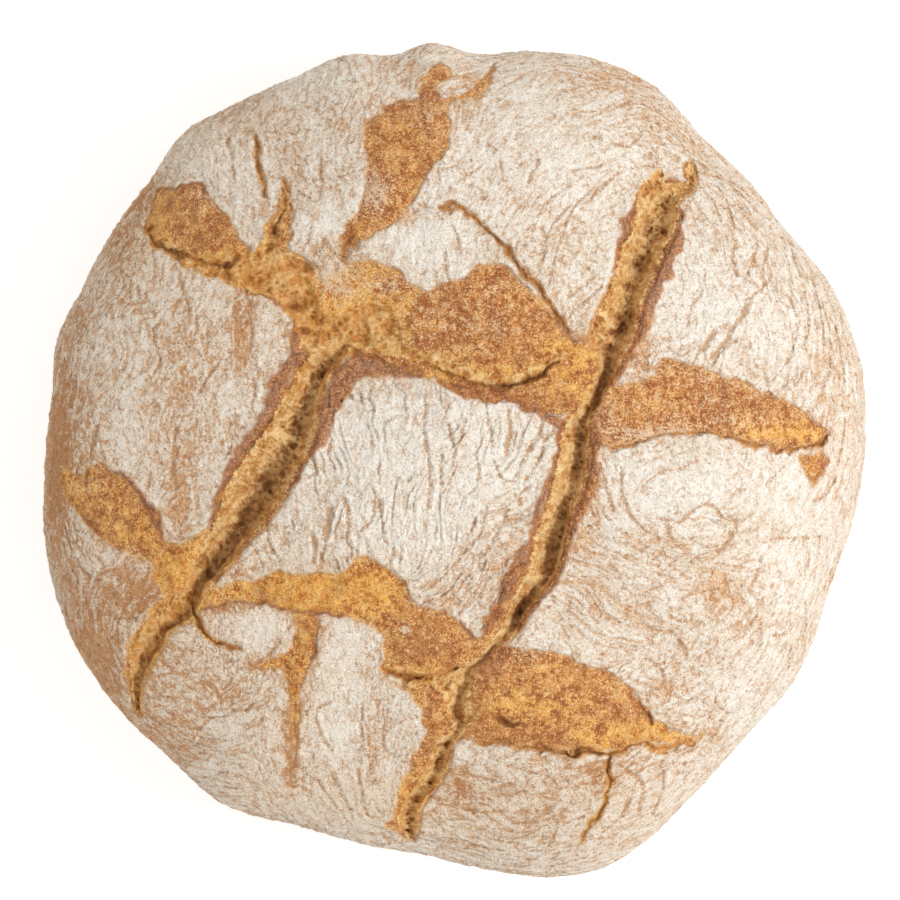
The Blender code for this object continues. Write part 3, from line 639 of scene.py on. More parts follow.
print("shoulder", way_plan[shoulder].round(3), "and foot", way_rolled[-1].round(3), "of the radius out")

# %% [markdown]
# ## Measuring from a route
#
# One function measures every point of the skin against a route: the nearest of its short
# straight runs gives the distance, the side and the way along. A spatial search tree would do
# for thousands of runs. With a few hundred, whole-array steps over only the points near each
# route are quicker to write and to run.


# %% Routes and closed fields
def smooth_route(route, parts=5):
    """More points on a Catmull-Rom curve through the route's own points; every column is carried along."""
    points = np.array(route, float)
    points = np.vstack([2 * points[0] - points[1], points, 2 * points[-1] - points[-2]])
    share = (np.arange(parts) / parts)[:, None]
    runs = []
    for before, start, end, after in zip(points, points[1:], points[2:], points[3:]):
        bend = (2 * before - 5 * start + 4 * end - after) * share ** 2
        close = (3 * start - before - 3 * end + after) * share ** 3
        runs.append(start + ((end - before) * share + bend + close) / 2)
    return np.vstack([*runs, points[-2:-1]])


def measure_route(knots, x, y, reach):
    """Distance, side (+1 right of a route that runs to the front), way along, offsets and the knots' own
    extra columns, for points within reach; further points keep the distance reach."""
    distance = np.full(x.shape, float(reach))
    side, along = np.zeros(x.shape), np.zeros(x.shape)
    away = np.zeros((2, *x.shape))
    extras = np.zeros((knots.shape[1] - 2, *x.shape))
    low, high = knots[:, :2].min(axis=0) - reach, knots[:, :2].max(axis=0) + reach
    near = (x > low[0]) & (x < high[0]) & (y > low[1]) & (y < high[1])
    px, py = x[near], y[near]
    best, best_side, best_along = distance[near], side[near], along[near]
    best_away, best_extras = away[:, near], extras[:, near]
    travelled = 0.0
    for start, end in zip(knots, knots[1:]):
        run = end[:2] - start[:2]
        length = math.hypot(*run)
        share = np.clip(((px - start[0]) * run[0] + (py - start[1]) * run[1]) / length ** 2, 0, 1)
        off_x, off_y = px - start[0] - share * run[0], py - start[1] - share * run[1]
        gap = np.hypot(off_x, off_y)
        closer = gap < best
        best[closer] = gap[closer]
        best_side[closer] = np.sign(run[0] * off_y - run[1] * off_x)[closer]
        best_along[closer] = (travelled + share * length)[closer]
        best_away[:, closer] = np.stack([off_x, off_y])[:, closer]
        for row, (first, last) in enumerate(zip(start[2:], end[2:])):
            best_extras[row, closer] = (first + share * (last - first))[closer]
        travelled += length
    distance[near], side[near], along[near] = best, best_side, best_along
    away[:, near], extras[:, near] = best_away, best_extras
    return distance, side, along, away, extras


def depth_inside(corners, x, y, reach=8.0):
    """How far each point lies inside a closed field in millimetres: above 0 inside, below 0 outside."""
    ring = np.array([*corners, corners[0]], float)
    distance, *_ = measure_route(ring, x, y, reach)
    inside = np.zeros(x.shape, bool)
    for (x0, y0), (x1, y1) in zip(ring, ring[1:]):
        if y0 != y1:
            inside ^= ((y0 > y) != (y1 > y)) & (x < x0 + (y - y0) * (x1 - x0) / (y1 - y0))
    return np.where(inside, distance, -distance)


# %% The grid's own places
steps = np.linspace(-1, 1, FIELDS * FIELD_CELLS + 1)
grid_u, grid_v = np.meshgrid(steps, steps)
flat_x, flat_y = grid_to_disc(grid_u, grid_v)
disc_x = flat_x * math.cos(GRID_TURN) - flat_y * math.sin(GRID_TURN)
disc_y = flat_x * math.sin(GRID_TURN) + flat_y * math.cos(GRID_TURN)
dome = np.array(dome_point(disc_x, disc_y))
plan = np.array(plan_point(*dome))
share, compass = np.hypot(disc_x, disc_y), np.arctan2(disc_y, disc_x)
rolled_out = np.interp(share, way_share, way_rolled) * outline_radius(compass) / MM
rolled = np.array([rolled_out * np.cos(compass), rolled_out * np.sin(compass)])
print("skin grid", dome.shape[1:], "points")

# %% The dome's slope: 1 on the crown, 0 at the girth, below 0 underneath
NORMAL_STEP = 0.004
inner_radius, inner_z = skin_profile(np.clip(share - NORMAL_STEP, 0, 1))
outer_radius, outer_z = skin_profile(np.clip(share + NORMAL_STEP, 0, 1))
run_out, run_up = (outer_radius - inner_radius) * MEAN_RADIUS, outer_z - inner_z
slope_length = np.hypot(run_out, run_up)
flatness = run_out / slope_length
steepness = -run_up / slope_length
outward = np.array([steepness * np.cos(compass), steepness * np.sin(compass), flatness])
print("flatness from", flatness.min().round(2), "to", flatness.max().round(2))

# %% [markdown]
# ## The relief
#
# The skin is pushed in and out: along the dome's normal low on the sides, and towards the camera
# on top, so that every edge stays where the photograph shows it. A long tear has one gentle
# wall, on its left, where the dough pulled away slowly, and one steep wall on its right. The
# floured skin is a layer about half a millimetre thick, and steps down at every bare field.

# %% Relief sizes in millimetres
PLATE_ROUNDING = 3.5
PLATE_REACH = 22.0
LIP_RISE = 1.0
LIP_REACH = 3.5
FLOOR_SHARE = 0.10
SKIN_STEP = 0.5
CURL_RISE = 0.3
FIELD_SWELL = 1.1
TORN_DROP = 1.8
TEAR_REACH = 60.0
DOME_WAVES = [(1.3, 0.7, 0.4, 1.4), (-0.9, 1.6, 2.1, 1.0), (2.6, 1.9, 4.0, 0.6), (-2.2, 3.1, 1.0, 0.5)]

# %% Ragged edges: the plan is nudged by noise before anything is measured on it
grain_place = [axis / MM for axis in dome]
nudge_x = 0.9 * gradient_noise(grain_place, 10.0, 11) + 1.7 * rough_noise(grain_place, 4.2, 12, layers=4)
nudge_y = 0.9 * gradient_noise(grain_place, 10.0, 21) + 1.7 * rough_noise(grain_place, 4.2, 22, layers=4)
ragged = rolled + np.array([nudge_x, nudge_y])
softly_ragged = rolled + 0.4 * np.array([nudge_x, nudge_y])
rough_nudge = gradient_noise(grain_place, 3.4, 13)

# %% Bare fields and torn fields: how far inside each point lies
bare = np.full(disc_x.shape, -8.0)
for corners in BARE_FIELDS.values():
    bare = np.maximum(bare, depth_inside([plan_of_pixel(*corner) for corner in corners], *ragged))
torn = np.full(disc_x.shape, -4.0)
for corners in TORN_FIELDS:
    torn = np.maximum(torn, depth_inside([plan_of_pixel(*corner) for corner in corners], *ragged))
field_drop = TORN_DROP * smooth_step(torn / 2.5)
print("bare and torn shares of the grid", (bare > 0).mean().round(3), (torn > 0).mean().round(3))


# %% Long tears: a floor between a gentle and a steep wall
def tear_route(rows):
    """A tear's route on the plan with its half width, where it is deepest, from -1 to 1, and its depth."""
    row, left, right, deepest, depth = np.array(rows, float).T
    middle = (left + right) / 2
    x, y = plan_of_pixel(middle, row)
    run_x, run_y = np.gradient(x), np.gradient(y)
    squareness = np.abs(run_y) / np.hypot(run_x, run_y)
    half_width = (right - left) / 2 * MM_PER_PIXEL * squareness
    lean = (deepest - middle) / (right - left) * 2
    return smooth_route(np.stack([x, y, half_width, lean, depth], axis=1), parts=3)


carve = np.zeros(disc_x.shape)
# How deep the tears and crevices have sunk, from 0 to 1: the material darkens the crumb and the crevices
# with it, as painted shade in their hollows.
hollow = np.zeros(disc_x.shape)
lips = np.zeros(disc_x.shape)
nearest_tear = np.full(disc_x.shape, TEAR_REACH)
fibres = np.zeros(disc_x.shape)
for rows in LONG_TEARS.values():
    measured = measure_route(tear_route(rows), *softly_ragged, TEAR_REACH)
    distance, side, along, _, (width, deepest, depth) = measured
    width = np.where(width == 0, 1.0, width)
    across = side * distance / width
    left_wall = smooth_step((across + 1) / np.maximum(deepest - FLOOR_SHARE + 1, 0.2))
    right_wall = smooth_step((1 - across) / np.maximum(1 - deepest - FLOOR_SHARE, 0.12))
    profile = np.where(distance < width, np.minimum(left_wall ** 0.8, right_wall ** 0.7), 0)
    carve = np.maximum(carve, depth * profile)
    hollow = np.maximum(hollow, profile * np.clip(depth / 10, 0, 1))
    torn = np.maximum(torn, np.clip(width - distance, -4, 4))
    bare = np.maximum(bare, np.clip(width + 1.3 + 0.5 * nudge_x - distance, -4, 1.2))
    inside = distance < width + 2
    stretch = [(along + 1.6 * nudge_x)[inside] / 1.7, (side * distance)[inside] / 7, 0.4 * nudge_y[inside]]
    fibres[inside] = np.maximum(fibres[inside], 1 - 2.6 * np.abs(rough_noise(stretch, 1.0, 34, layers=2)))
    lips = np.maximum(lips, np.exp(-((distance - width - 2.5) / LIP_REACH) ** 2) * np.clip(depth / 8, 0, 1))
    nearest_tear = np.minimum(nearest_tear, np.maximum(distance - width, 0))
print("deepest tear", carve.max().round(1), "mm")

# %% Crevices, pits and strands: shares of a crevice's width and depth as read off that stay open
WIDTH_KEPT = 0.65
DEPTH_KEPT = 0.6
crevice = np.zeros(disc_x.shape)
groove = np.full(disc_x.shape, -3.0)
for route in CREVICES:
    knots = smooth_route([(*plan_of_pixel(*knot[:2]), *knot[2:]) for knot in route])
    distance, _, _, _, (width, depth) = measure_route(knots, *ragged, 6.0)
    width = WIDTH_KEPT * width * (1 + 0.7 * rough_nudge)
    notch = smooth_step(1.2 - distance / np.maximum(width, 0.3)) * depth * DEPTH_KEPT
    crevice = np.maximum(crevice, notch)
    groove = np.maximum(groove, np.clip(width * 0.55 - distance, -3, 3))
    bare = np.maximum(bare, np.clip(width + 0.5 + 0.5 * nudge_y - distance, -4, 1.0))
for column, row, across, down, depth in PITS:
    x, y = plan_of_pixel(column, row)
    reach = ((softly_ragged[0] - x) / across) ** 2 + ((softly_ragged[1] - y) / down) ** 2
    crevice += depth * np.exp(-(reach / MM_PER_PIXEL ** 2) ** 2)
strand_rise = np.zeros(disc_x.shape)
for route in STRANDS:
    distance, *_ = measure_route(smooth_route([plan_of_pixel(*pixel) for pixel in route]), *ragged, 6.0)
    thread = np.exp(-(distance / (0.7 + 0.5 * rough_nudge)) ** 2)
    strand_rise = np.maximum(strand_rise, thread * (1 + rough_nudge) / 2)
carve = np.maximum(carve, crevice)
hollow = np.maximum(hollow, np.clip(crevice / 5, 0, 1))
in_torn = smooth_step(torn / 0.8 + 0.3)
print("torn share with crevices", round(float((torn > 0).mean()), 3))

# %% [markdown]
# ## Wrinkles
#
# As the dough swelled, the drying floured skin stretched into fine wrinkles, in fans on the
# middle plate and in rings along the rim. The ones that show most are drawn as routes of their
# own. The rest follow the same flow: each plate has a pole, and its wrinkles either circle that
# pole or run towards it. A wrinkle is a flap: it rises steeply and slopes away to the next, as
# tiles on a roof do. So the height is a softened sawtooth of the way across, bent and broken up by noise.

# %% Plates: middle and pole in pixels, rings or rays, spacing and height of the flaps in millimetres
PLATES = [
    ((560, 160), (650, 270), "rings", 3.6, 0.30), ((420, 240), (430, 420), "rays", 4.0, 0.30),
    ((270, 170), (330, 600), "rays", 4.0, 0.50), ((160, 380), (900, 560), "rings", 5.0, 0.35),
    ((440, 480), (350, 750), "rays", 4.2, 1.05), ((740, 290), (560, 340), "rings", 2.9, 0.55),
    ((690, 530), (690, 460), "rings", 3.6, 0.60), ((760, 640), (560, 520), "rings", 3.4, 0.55),
    ((520, 810), (520, 600), "rings", 3.4, 0.50), ((340, 740), (700, 700), "rings", 3.6, 0.60),
    ((200, 690), (215, 640), "rings", 3.8, 0.45), ((80, 400), (460, 460), "rings", 3.4, 0.45),
]


def plate_flaps(x, y):
    """Ways along and across the wrinkles, their spacing and height, and how surely one plate's."""
    nearest, second = np.full(x.shape, np.inf), np.full(x.shape, np.inf)
    along, across = np.zeros(x.shape), np.zeros(x.shape)
    spacing, height = np.ones(x.shape), np.zeros(x.shape)
    for middle, pole, kind, gap, rise in PLATES:
        (mx, my), (px, py) = plan_of_pixel(*middle), plan_of_pixel(*pole)
        away = np.hypot(x - mx, y - my)
        reach = max(math.hypot(mx - px, my - py), 25)
        facing = math.atan2(my - py, mx - px)
        turn = np.mod(np.arctan2(y - py, x - px) - facing + math.pi, 2 * math.pi) - math.pi
        ours = away < nearest
        second = np.where(ours, nearest, np.minimum(second, away))
        nearest = np.where(ours, away, nearest)
        outward = np.hypot(x - px, y - py)
        along = np.where(ours, turn * reach if kind == "rings" else outward, along)
        across = np.where(ours, outward if kind == "rings" else -turn * reach, across)
        spacing = np.where(ours, gap, spacing)
        height = np.where(ours, rise, height)
    return along, across, spacing, height, smooth_step((second - nearest) / 10)


flow_nudge = np.array([gradient_noise(grain_place, 24.0, 32), gradient_noise(grain_place, 24.0, 33)])
flow_along, flow_across, spacing, flap_height, flow_clear = plate_flaps(*(rolled + 5.0 * flow_nudge))
flow = [flow_along / 16, flow_across / (1.6 * spacing), np.zeros(disc_x.shape)]
bend = 1.5 * gradient_noise(flow, 1.0, 41) + 0.5 * gradient_noise([axis * 2.4 for axis in flow], 1.0, 42)
wobble = rough_noise(grain_place, 3.2, 49, layers=2)
flap_way = flow_across / spacing + bend + 0.16 * wobble
flap_part = flap_way - np.floor(flap_way)
flap_patch = gradient_noise([flow_along / 11, flow_across / 5, bend], 1.0, 43)
flap_here = smooth_step(flap_patch * 1.6 + 0.35) * flow_clear
flaps = flap_height * flap_here * (smooth_step(flap_part / 0.12) * (1 - flap_part) ** 1.6 - 0.4)
seam = np.abs(flap_part - 0.04) * spacing + 1.5 * (1 - flap_here)
fine_bend = gradient_noise([flow_along / 5, flow_across / 1.6, bend], 1.0, 47)
fine_way = flow_across / (0.38 * spacing) + 2.2 * bend + 0.9 * fine_bend
fine_part = fine_way - np.floor(fine_way)
fine_patch = gradient_noise([flow_along / 7, flow_across / 3, bend], 1.0, 48)
fine_here = smooth_step(fine_patch * 1.8 + 0.45) * flow_clear
flaps += (0.10 + 0.30 * flap_height) * fine_here * ((1 - fine_part) ** 1.5 - 0.4)
veins = np.abs(rough_noise([flow_along / 8, flow_across / 2.3 + 0.8 * bend, 0.3 * bend], 1.0, 46, layers=2))
print("flaps from", flaps.min().round(2), "to", flaps.max().round(2), "mm")

# %% Wrinkles drawn as routes: distance to the nearest, less its half width
wrinkle = np.full(disc_x.shape, 3.0)
wrinkle_fold = np.zeros(disc_x.shape)
for marks in WRINKLES.values():
    for half_width, route in marks:
        knots = smooth_route([plan_of_pixel(*pixel) for pixel in route], parts=4)
        distance, side, _, _, _ = measure_route(knots, *softly_ragged, 4.0)
        half_width = half_width * (0.8 + 1.1 * rough_nudge)
        wrinkle = np.minimum(wrinkle, distance - half_width)
        trough = -np.exp(-(distance / np.maximum(half_width + 0.3, 0.2)) ** 2) * (0.32 + 0.25 * half_width)
        flap_edge = 0.4 * np.exp(-((distance - half_width - 0.7) / 0.6) ** 2) * (side > 0)
        fold = trough + flap_edge
        wrinkle_fold = np.where(np.abs(fold) > np.abs(wrinkle_fold), fold, wrinkle_fold)
print("deepest wrinkle", wrinkle_fold.min().round(2), "mm")

# %% Burnt rims
burnt = np.full(disc_x.shape, -3.0)
for under, route in BURNT_RIMS:
    rim = []
    for column, row, half in route:
        rim_width = (0.85 * half + 0.5 * abs(under)) * MM_PER_PIXEL
        rim.append((*plan_of_pixel(column + under, row), rim_width))
    knots = smooth_route(rim, parts=3)
    distance, _, _, _, (half_width,) = measure_route(knots, *ragged, 6.0)
    burnt = np.maximum(burnt, half_width * (1 + 0.5 * gradient_noise(grain_place, 5.0, 53)) - distance)
print("burnt share", round(float((burnt > 0).mean()), 4))

# %% Torn crumb: holes between stretched walls, drawn out across the tear
holes = gradient_noise(grain_place, 4.2, 66)
walls = 1 - 2 * np.abs(gradient_noise([axis + 1.5 * holes for axis in grain_place], 4.4, 67))
fine_walls = 1 - 2 * np.abs(gradient_noise([axis + 0.8 * holes for axis in grain_place], 1.7, 68))
lumps = rough_noise(grain_place, 6.0, 69)
grit = rough_noise(grain_place, 1.1, 72, layers=2)
crumb = 0.7 * walls + 0.8 * fine_walls + 1.1 * lumps + 0.8 * grit - 1.4 * smooth_step((holes - 0.34) / 0.22)
crumb += 0.9 * fibres
print("crumb from", crumb.min().round(1), "to", crumb.max().round(1), "mm")

# %% [markdown]
# ## Flour
#
# The flour was dusted on the proofing basket, so it lies in drifts: thick in the middle of the
# plates, thin where the skin stretched, rubbed off the rim. A painted mask would fix it to one
# size of picture. Instead soft round drifts, each read off the photograph, add up to a thickness
# at every point, and the material breaks that thickness up into grains.

# %% Flour thickness from 0 to 1
def drifts(spots):
    """Soft round spots added up over the plan, each a middle and two radii in pixels and an amount."""
    total = np.zeros(disc_x.shape)
    for column, row, across, down, amount in spots:
        x, y = flat_of_pixel(column, row)
        away = ((plan[0] - x) / across) ** 2 + ((plan[1] - y) / down) ** 2
        total += amount * np.exp(-away / MM_PER_PIXEL ** 2)
    return total


side_share = smooth_step((0.40 - flatness) / 0.3)
# The flour on the sides lies thicker to the right and thinner to the left: partly the flour's own spread,
# partly painted shade on the side turned away from the lamp.
side_flour = 0.48 + 0.12 * np.cos(compass) + 0.35 * rough_noise(grain_place, 26.0, 73)
flour = 0.60 + drifts(FLOUR_DRIFTS) + 0.16 * rough_noise(grain_place, 16.0, 71)
flour += 0.8 * (side_flour - flour) * side_share
flour *= 0.35 + 0.65 * smooth_step(dome[2] / 0.022)
flour = np.clip(flour, 0, 1)
print("mean flour", flour.mean().round(2))

# %% Caked flour: islands with cracks between them, drawn out along the wrinkles
cake_place = [flow_along / 3.4 + 1.3 * lumps, flow_across / 2.0 + 0.6 * bend + 0.9 * holes, 0.4 * bend]
cake = flour + 0.5 * rough_noise(cake_place, 1.0, 93) - 0.5 * np.exp(-(veins / 0.09) ** 2) * (1.05 - flour)
print("caked share", round(float((cake > 0.38).mean()), 2))

# %% Golden share: where the crust opened last, and where the ground under the flour is yellower
# The spots along the left side tint it golden and darker: partly the crust's own colour, partly painted
# warm shade on the side turned away from the lamp.
GOLDEN_SPOTS = [
    (340, 320, 60, 45, 0.9), (300, 285, 60, 30, 0.9), (230, 262, 45, 14, 0.9), (320, 590, 90, 28, 0.8),
    (450, 372, 120, 12, 0.5), (565, 380, 40, 25, 0.3), (790, 432, 40, 10, 0.7), (650, 735, 60, 16, 0.8),
    (520, 705, 60, 14, 0.5), (140, 215, 22, 40, 1.0), (180, 585, 20, 30, 0.8), (575, 345, 30, 12, 0.8),
    (430, 675, 50, 12, 0.7), (350, 585, 40, 20, 0.5), (150, 640, 20, 30, 0.7), (150, 620, 90, 110, 0.6),
    (300, 690, 70, 90, 0.5), (58, 420, 30, 190, 0.7), (120, 230, 34, 60, 0.8), (540, 810, 130, 40, 0.6),
    (330, 800, 90, 40, 0.5), (230, 120, 70, 30, 0.5), (600, 778, 30, 24, 0.8), (450, 800, 60, 30, 0.4),
    (190, 400, 70, 120, 0.25), (240, 300, 20, 50, 0.3), (280, 440, 20, 60, -0.2),
]
golden = np.clip(drifts(GOLDEN_SPOTS) * (1 - 0.7 * side_share), 0, 1)
print("mean gold", golden.mean().round(2))

# %% Flour that fell on the bare crust
DUSTED_SPOTS = [
    (375, 192, 18, 24, 0.8), (428, 118, 18, 20, 0.35), (700, 428, 80, 12, 0.15),
    (338, 280, 30, 26, 0.6), (385, 285, 20, 10, 0.4), (322, 262, 22, 14, 0.5), (205, 194, 12, 12, 0.5),
    (655, 364, 30, 10, 0.25), (640, 434, 36, 8, 0.5), (708, 374, 30, 10, 0.3), (405, 629, 5, 5, 0.9),
    (520, 655, 30, 10, 0.3), (240, 262, 20, 10, 0.2), (220, 592, 16, 8, 0.3), (612, 400, 16, 16, 0.2),
    (130, 556, 22, 10, 0.5), (88, 486, 20, 10, 0.3), (620, 700, 16, 16, 0.15), (500, 285, 26, 10, 0.15),
    (350, 560, 14, 8, 0.2), (710, 408, 90, 30, 0.24), (460, 320, 80, 36, 0.25), (604, 426, 12, 16, 0.3),
]
dusted = drifts(DUSTED_SPOTS)
print("mean dusting", dusted.mean().round(3))

# %% [markdown]
# ## Adding up
#
# Every form above is a height in millimetres over the same grid, so the relief is their sum. A
# stack of displace modifiers would give the same, but each would need its own picture or
# texture, and none could lift the crumb only where the skin is torn.

# %% All of it together, in millimetres along the dome's normal
skin_layer = 1 - smooth_step(bare / 0.7 + 0.5)
off_torn = 1 - in_torn
relief = -carve * (1 + 0.15 * gradient_noise(grain_place, 6.0, 51))
relief += LIP_RISE * lips * off_torn
relief -= PLATE_ROUNDING * np.exp(-nearest_tear / PLATE_REACH) * smooth_step((dome[2] - 0.042) / 0.035)
skin_edge = SKIN_STEP * (1 + 1.2 * rough_nudge) * (1 - skin_layer) * off_torn
relief -= skin_edge + 0.2 * np.exp(-np.abs(bare) / 2.5) * (bare > 0)
relief += CURL_RISE * np.exp(-((bare + 1.2) / 1.0) ** 2) * (0.5 + gradient_noise(grain_place, 7.0, 52))
relief += FIELD_SWELL * (1 - np.exp(-np.clip(bare, 0, 8) / 4.0)) * off_torn
relief -= field_drop * in_torn
relief += (wrinkle_fold + flaps * (1 - 0.7 * (1 - skin_layer))) * off_torn
relief += 0.4 * gradient_noise(grain_place, 22.0, 61) + 0.35 * rough_noise(grain_place, 7.0, 62)
flakes = 0.25 * gradient_noise(grain_place, 3.8, 70) * skin_layer
relief += 0.28 * rough_noise(grain_place, 2.2, 63) + flakes
relief += (0.30 * smooth_step((cake - 0.32) / 0.2) - 0.12 * np.exp(-(veins / 0.06) ** 2)) * skin_layer
pebbles = 0.45 * rough_noise(grain_place, 4.0, 64) + 0.28 * gradient_noise(grain_place, 1.5, 65)
torn_relief = crumb * (0.5 + 0.5 * np.clip(torn / 2, 0, 1)) + 1.4 * strand_rise
relief += (1 - skin_layer) * pebbles + in_torn * torn_relief
on_top = smooth_step((dome[2] - GIRTH_HEIGHT) / 0.03)
for crests_x, crests_y, phase, rise in DOME_WAVES:
    crests = (crests_x * plan[0] + crests_y * plan[1]) * MM / (2 * MEAN_RADIUS)
    relief += rise * np.sin(2 * math.pi * crests + phase) * on_top
print("relief from", relief.min().round(1), "to", relief.max().round(1), "mm")

# %% The skin's points
to_camera = np.array([-dome[0], -dome[1], CAMERA_HEIGHT - dome[2]])
to_camera /= np.linalg.norm(to_camera, axis=0)
lift = relief * MM * smooth_step(dome[2] / GIRTH_HEIGHT)
skin = dome + lift * (outward + (to_camera - outward) * smooth_step((flatness - 0.35) / 0.35))
centre = (skin[:2].min(axis=(1, 2)) + skin[:2].max(axis=(1, 2))) / 2
skin[:2] -= centre[:, None, None]
print("skin box", (skin.max(axis=(1, 2)) - skin.min(axis=(1, 2))).round(4), "moved by", -centre.round(4))

# %% [markdown]
# ## From arrays to meshes
#
# The grid is cut into nine square fields in three rows, so that each stays light and has a
# texture square of its own. Neighbours share their edge points exactly, and the normals are
# worked out on the whole grid before it is cut, so no seam shows between them.

# %% Normals of the whole skin
tangent_u = np.gradient(skin, axis=2)
tangent_v = np.gradient(skin, axis=1)
normals = np.cross(tangent_u, tangent_v, axis=0)
normals /= np.maximum(np.linalg.norm(normals, axis=0), 1e-12)
marks = {
    "bare": bare, "torn": torn, "wrinkle": wrinkle, "seam": seam, "flour": flour, "burnt": burnt,
    "hollow": hollow, "golden": golden, "crumb": crumb, "strand": strand_rise, "dusted": dusted,
    "groove": groove, "cake": cake, "vein": veins,
}


# %% One square field of the grid as a mesh
def grid_faces(rows, columns):
    """Corner numbers of every quad of a grid whose points are numbered row by row."""
    first = (np.arange(rows - 1)[:, None] * columns + np.arange(columns - 1)).ravel()
    return np.stack([first, first + 1, first + columns + 1, first + columns], axis=1)


def mesh_from_arrays(name, points, faces, material):
    """A mesh object from an array of points and an array of quads or triangles, with its material."""
    mesh = bpy.data.meshes.new(name)
    corners = faces.shape[1]
    mesh.vertices.add(len(points))
    mesh.vertices.foreach_set("co", points.astype(np.float32).ravel())
    mesh.loops.add(faces.size)
    mesh.loops.foreach_set("vertex_index", faces.astype(np.int32).ravel())
    mesh.polygons.add(len(faces))
    mesh.polygons.foreach_set("loop_start", np.arange(0, faces.size, corners, dtype=np.int32))
    mesh.update(calc_edges=True)
    mesh.shade_smooth()
    mesh.materials.append(material)
    piece = bpy.data.objects.new(name, mesh)
    bpy.context.scene.collection.objects.link(piece)
    return piece


def dress(piece):
    """The piece rides with the loaf's body and stands for its solid, which is hidden."""
    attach(piece, "root")
    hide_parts("loaf")


# %% [markdown]
# ## The crust's material
#
# Finishes lie over each other: floured skin, bare browned crust, burnt rim, torn golden crumb and
# the crevices through them. Each edge is a distance stored on the mesh, and the material adds
# fine noise to that distance before it cuts it off. So the edges stay sharp and ragged far below
# the size of a quad. Painting the masks on the vertices would leave them soft.


# %% Shader sums written as Python
class Signal:
    """A number that flows through a material: a socket that can be added to, scaled and compared."""

    def __init__(self, recipe, socket):
        self.recipe, self.socket = recipe, socket

    def sum_up(self, operation, *values):
        return self.recipe.node("ShaderNodeMath", {"operation": operation}, dict(enumerate(values)))

    def __add__(self, other):
        return self.sum_up("ADD", self, other)

    def __sub__(self, other):
        return self.sum_up("SUBTRACT", self, other)

    def __rsub__(self, other):
        return self.sum_up("SUBTRACT", other, self)

    def __mul__(self, other):
        return self.sum_up("MULTIPLY", self, other)

    __radd__ = __add__


class Recipe:
    """A material's node tree, built up one node at a time."""

    def __init__(self, name):
        self.material = bpy.data.materials.new(name)
        self.material.use_nodes = True
        self.tree = self.material.node_tree
        self.shader = self.tree.nodes["Principled BSDF"]

    def node(self, kind, settings=None, sockets=None, out=0):
        """Any node: its settings are set first, then its sockets get a number, a colour or a link."""
        made = self.tree.nodes.new(kind)
        for name, value in (settings or {}).items():
            setattr(made, name, value)
        for key, value in (sockets or {}).items():
            self.feed(made.inputs[key], value)
        return Signal(self, made.outputs[out])

    def feed(self, socket, value):
        if isinstance(value, Signal):
            self.tree.links.new(value.socket, socket)
        else:
            socket.default_value = value

    def mark(self, name):
        """A number stored at the mesh's points."""
        return self.node("ShaderNodeAttribute", {"attribute_name": name}, out="Fac")

    def place(self):
        return self.node("ShaderNodeTexCoord", out="Object")

    def noise(self, grain_mm, detail=2.0, roughness=0.55, where=None):
        """Noise from 0 to 1 whose bumps are about grain_mm wide."""
        sockets = {"Scale": 1 / (grain_mm * MM), "Detail": detail, "Roughness": roughness}
        sockets["Vector"] = where or self.place()
        return self.node("ShaderNodeTexNoise", {"noise_dimensions": "3D"}, sockets)

    def rise(self, value, low, high):
        """0 below low, 1 above high, and a smooth rise between."""
        settings = {"interpolation_type": "SMOOTHSTEP", "clamp": True}
        sockets = {"Value": value, "From Min": low, "From Max": high}
        return self.node("ShaderNodeMapRange", settings, sockets)

    def blend(self, share, first, second):
        """The first colour where share is 0 and the second where it is 1."""
        return self.node("ShaderNodeMix", {"data_type": "RGBA"}, {0: share, 6: first, 7: second}, out=2)


def paint(red, green, blue):
    """A colour as it is read off a screen, from 0 to 255, turned into light."""
    shares = [c / 255 for c in (red, green, blue)]
    light = [c / 12.92 if c <= 0.04 else ((c + 0.055) / 1.055) ** 2.4 for c in shares]
    return (*light, 1.0)


print("flour white in light", [round(c, 3) for c in paint(246, 238, 226)])


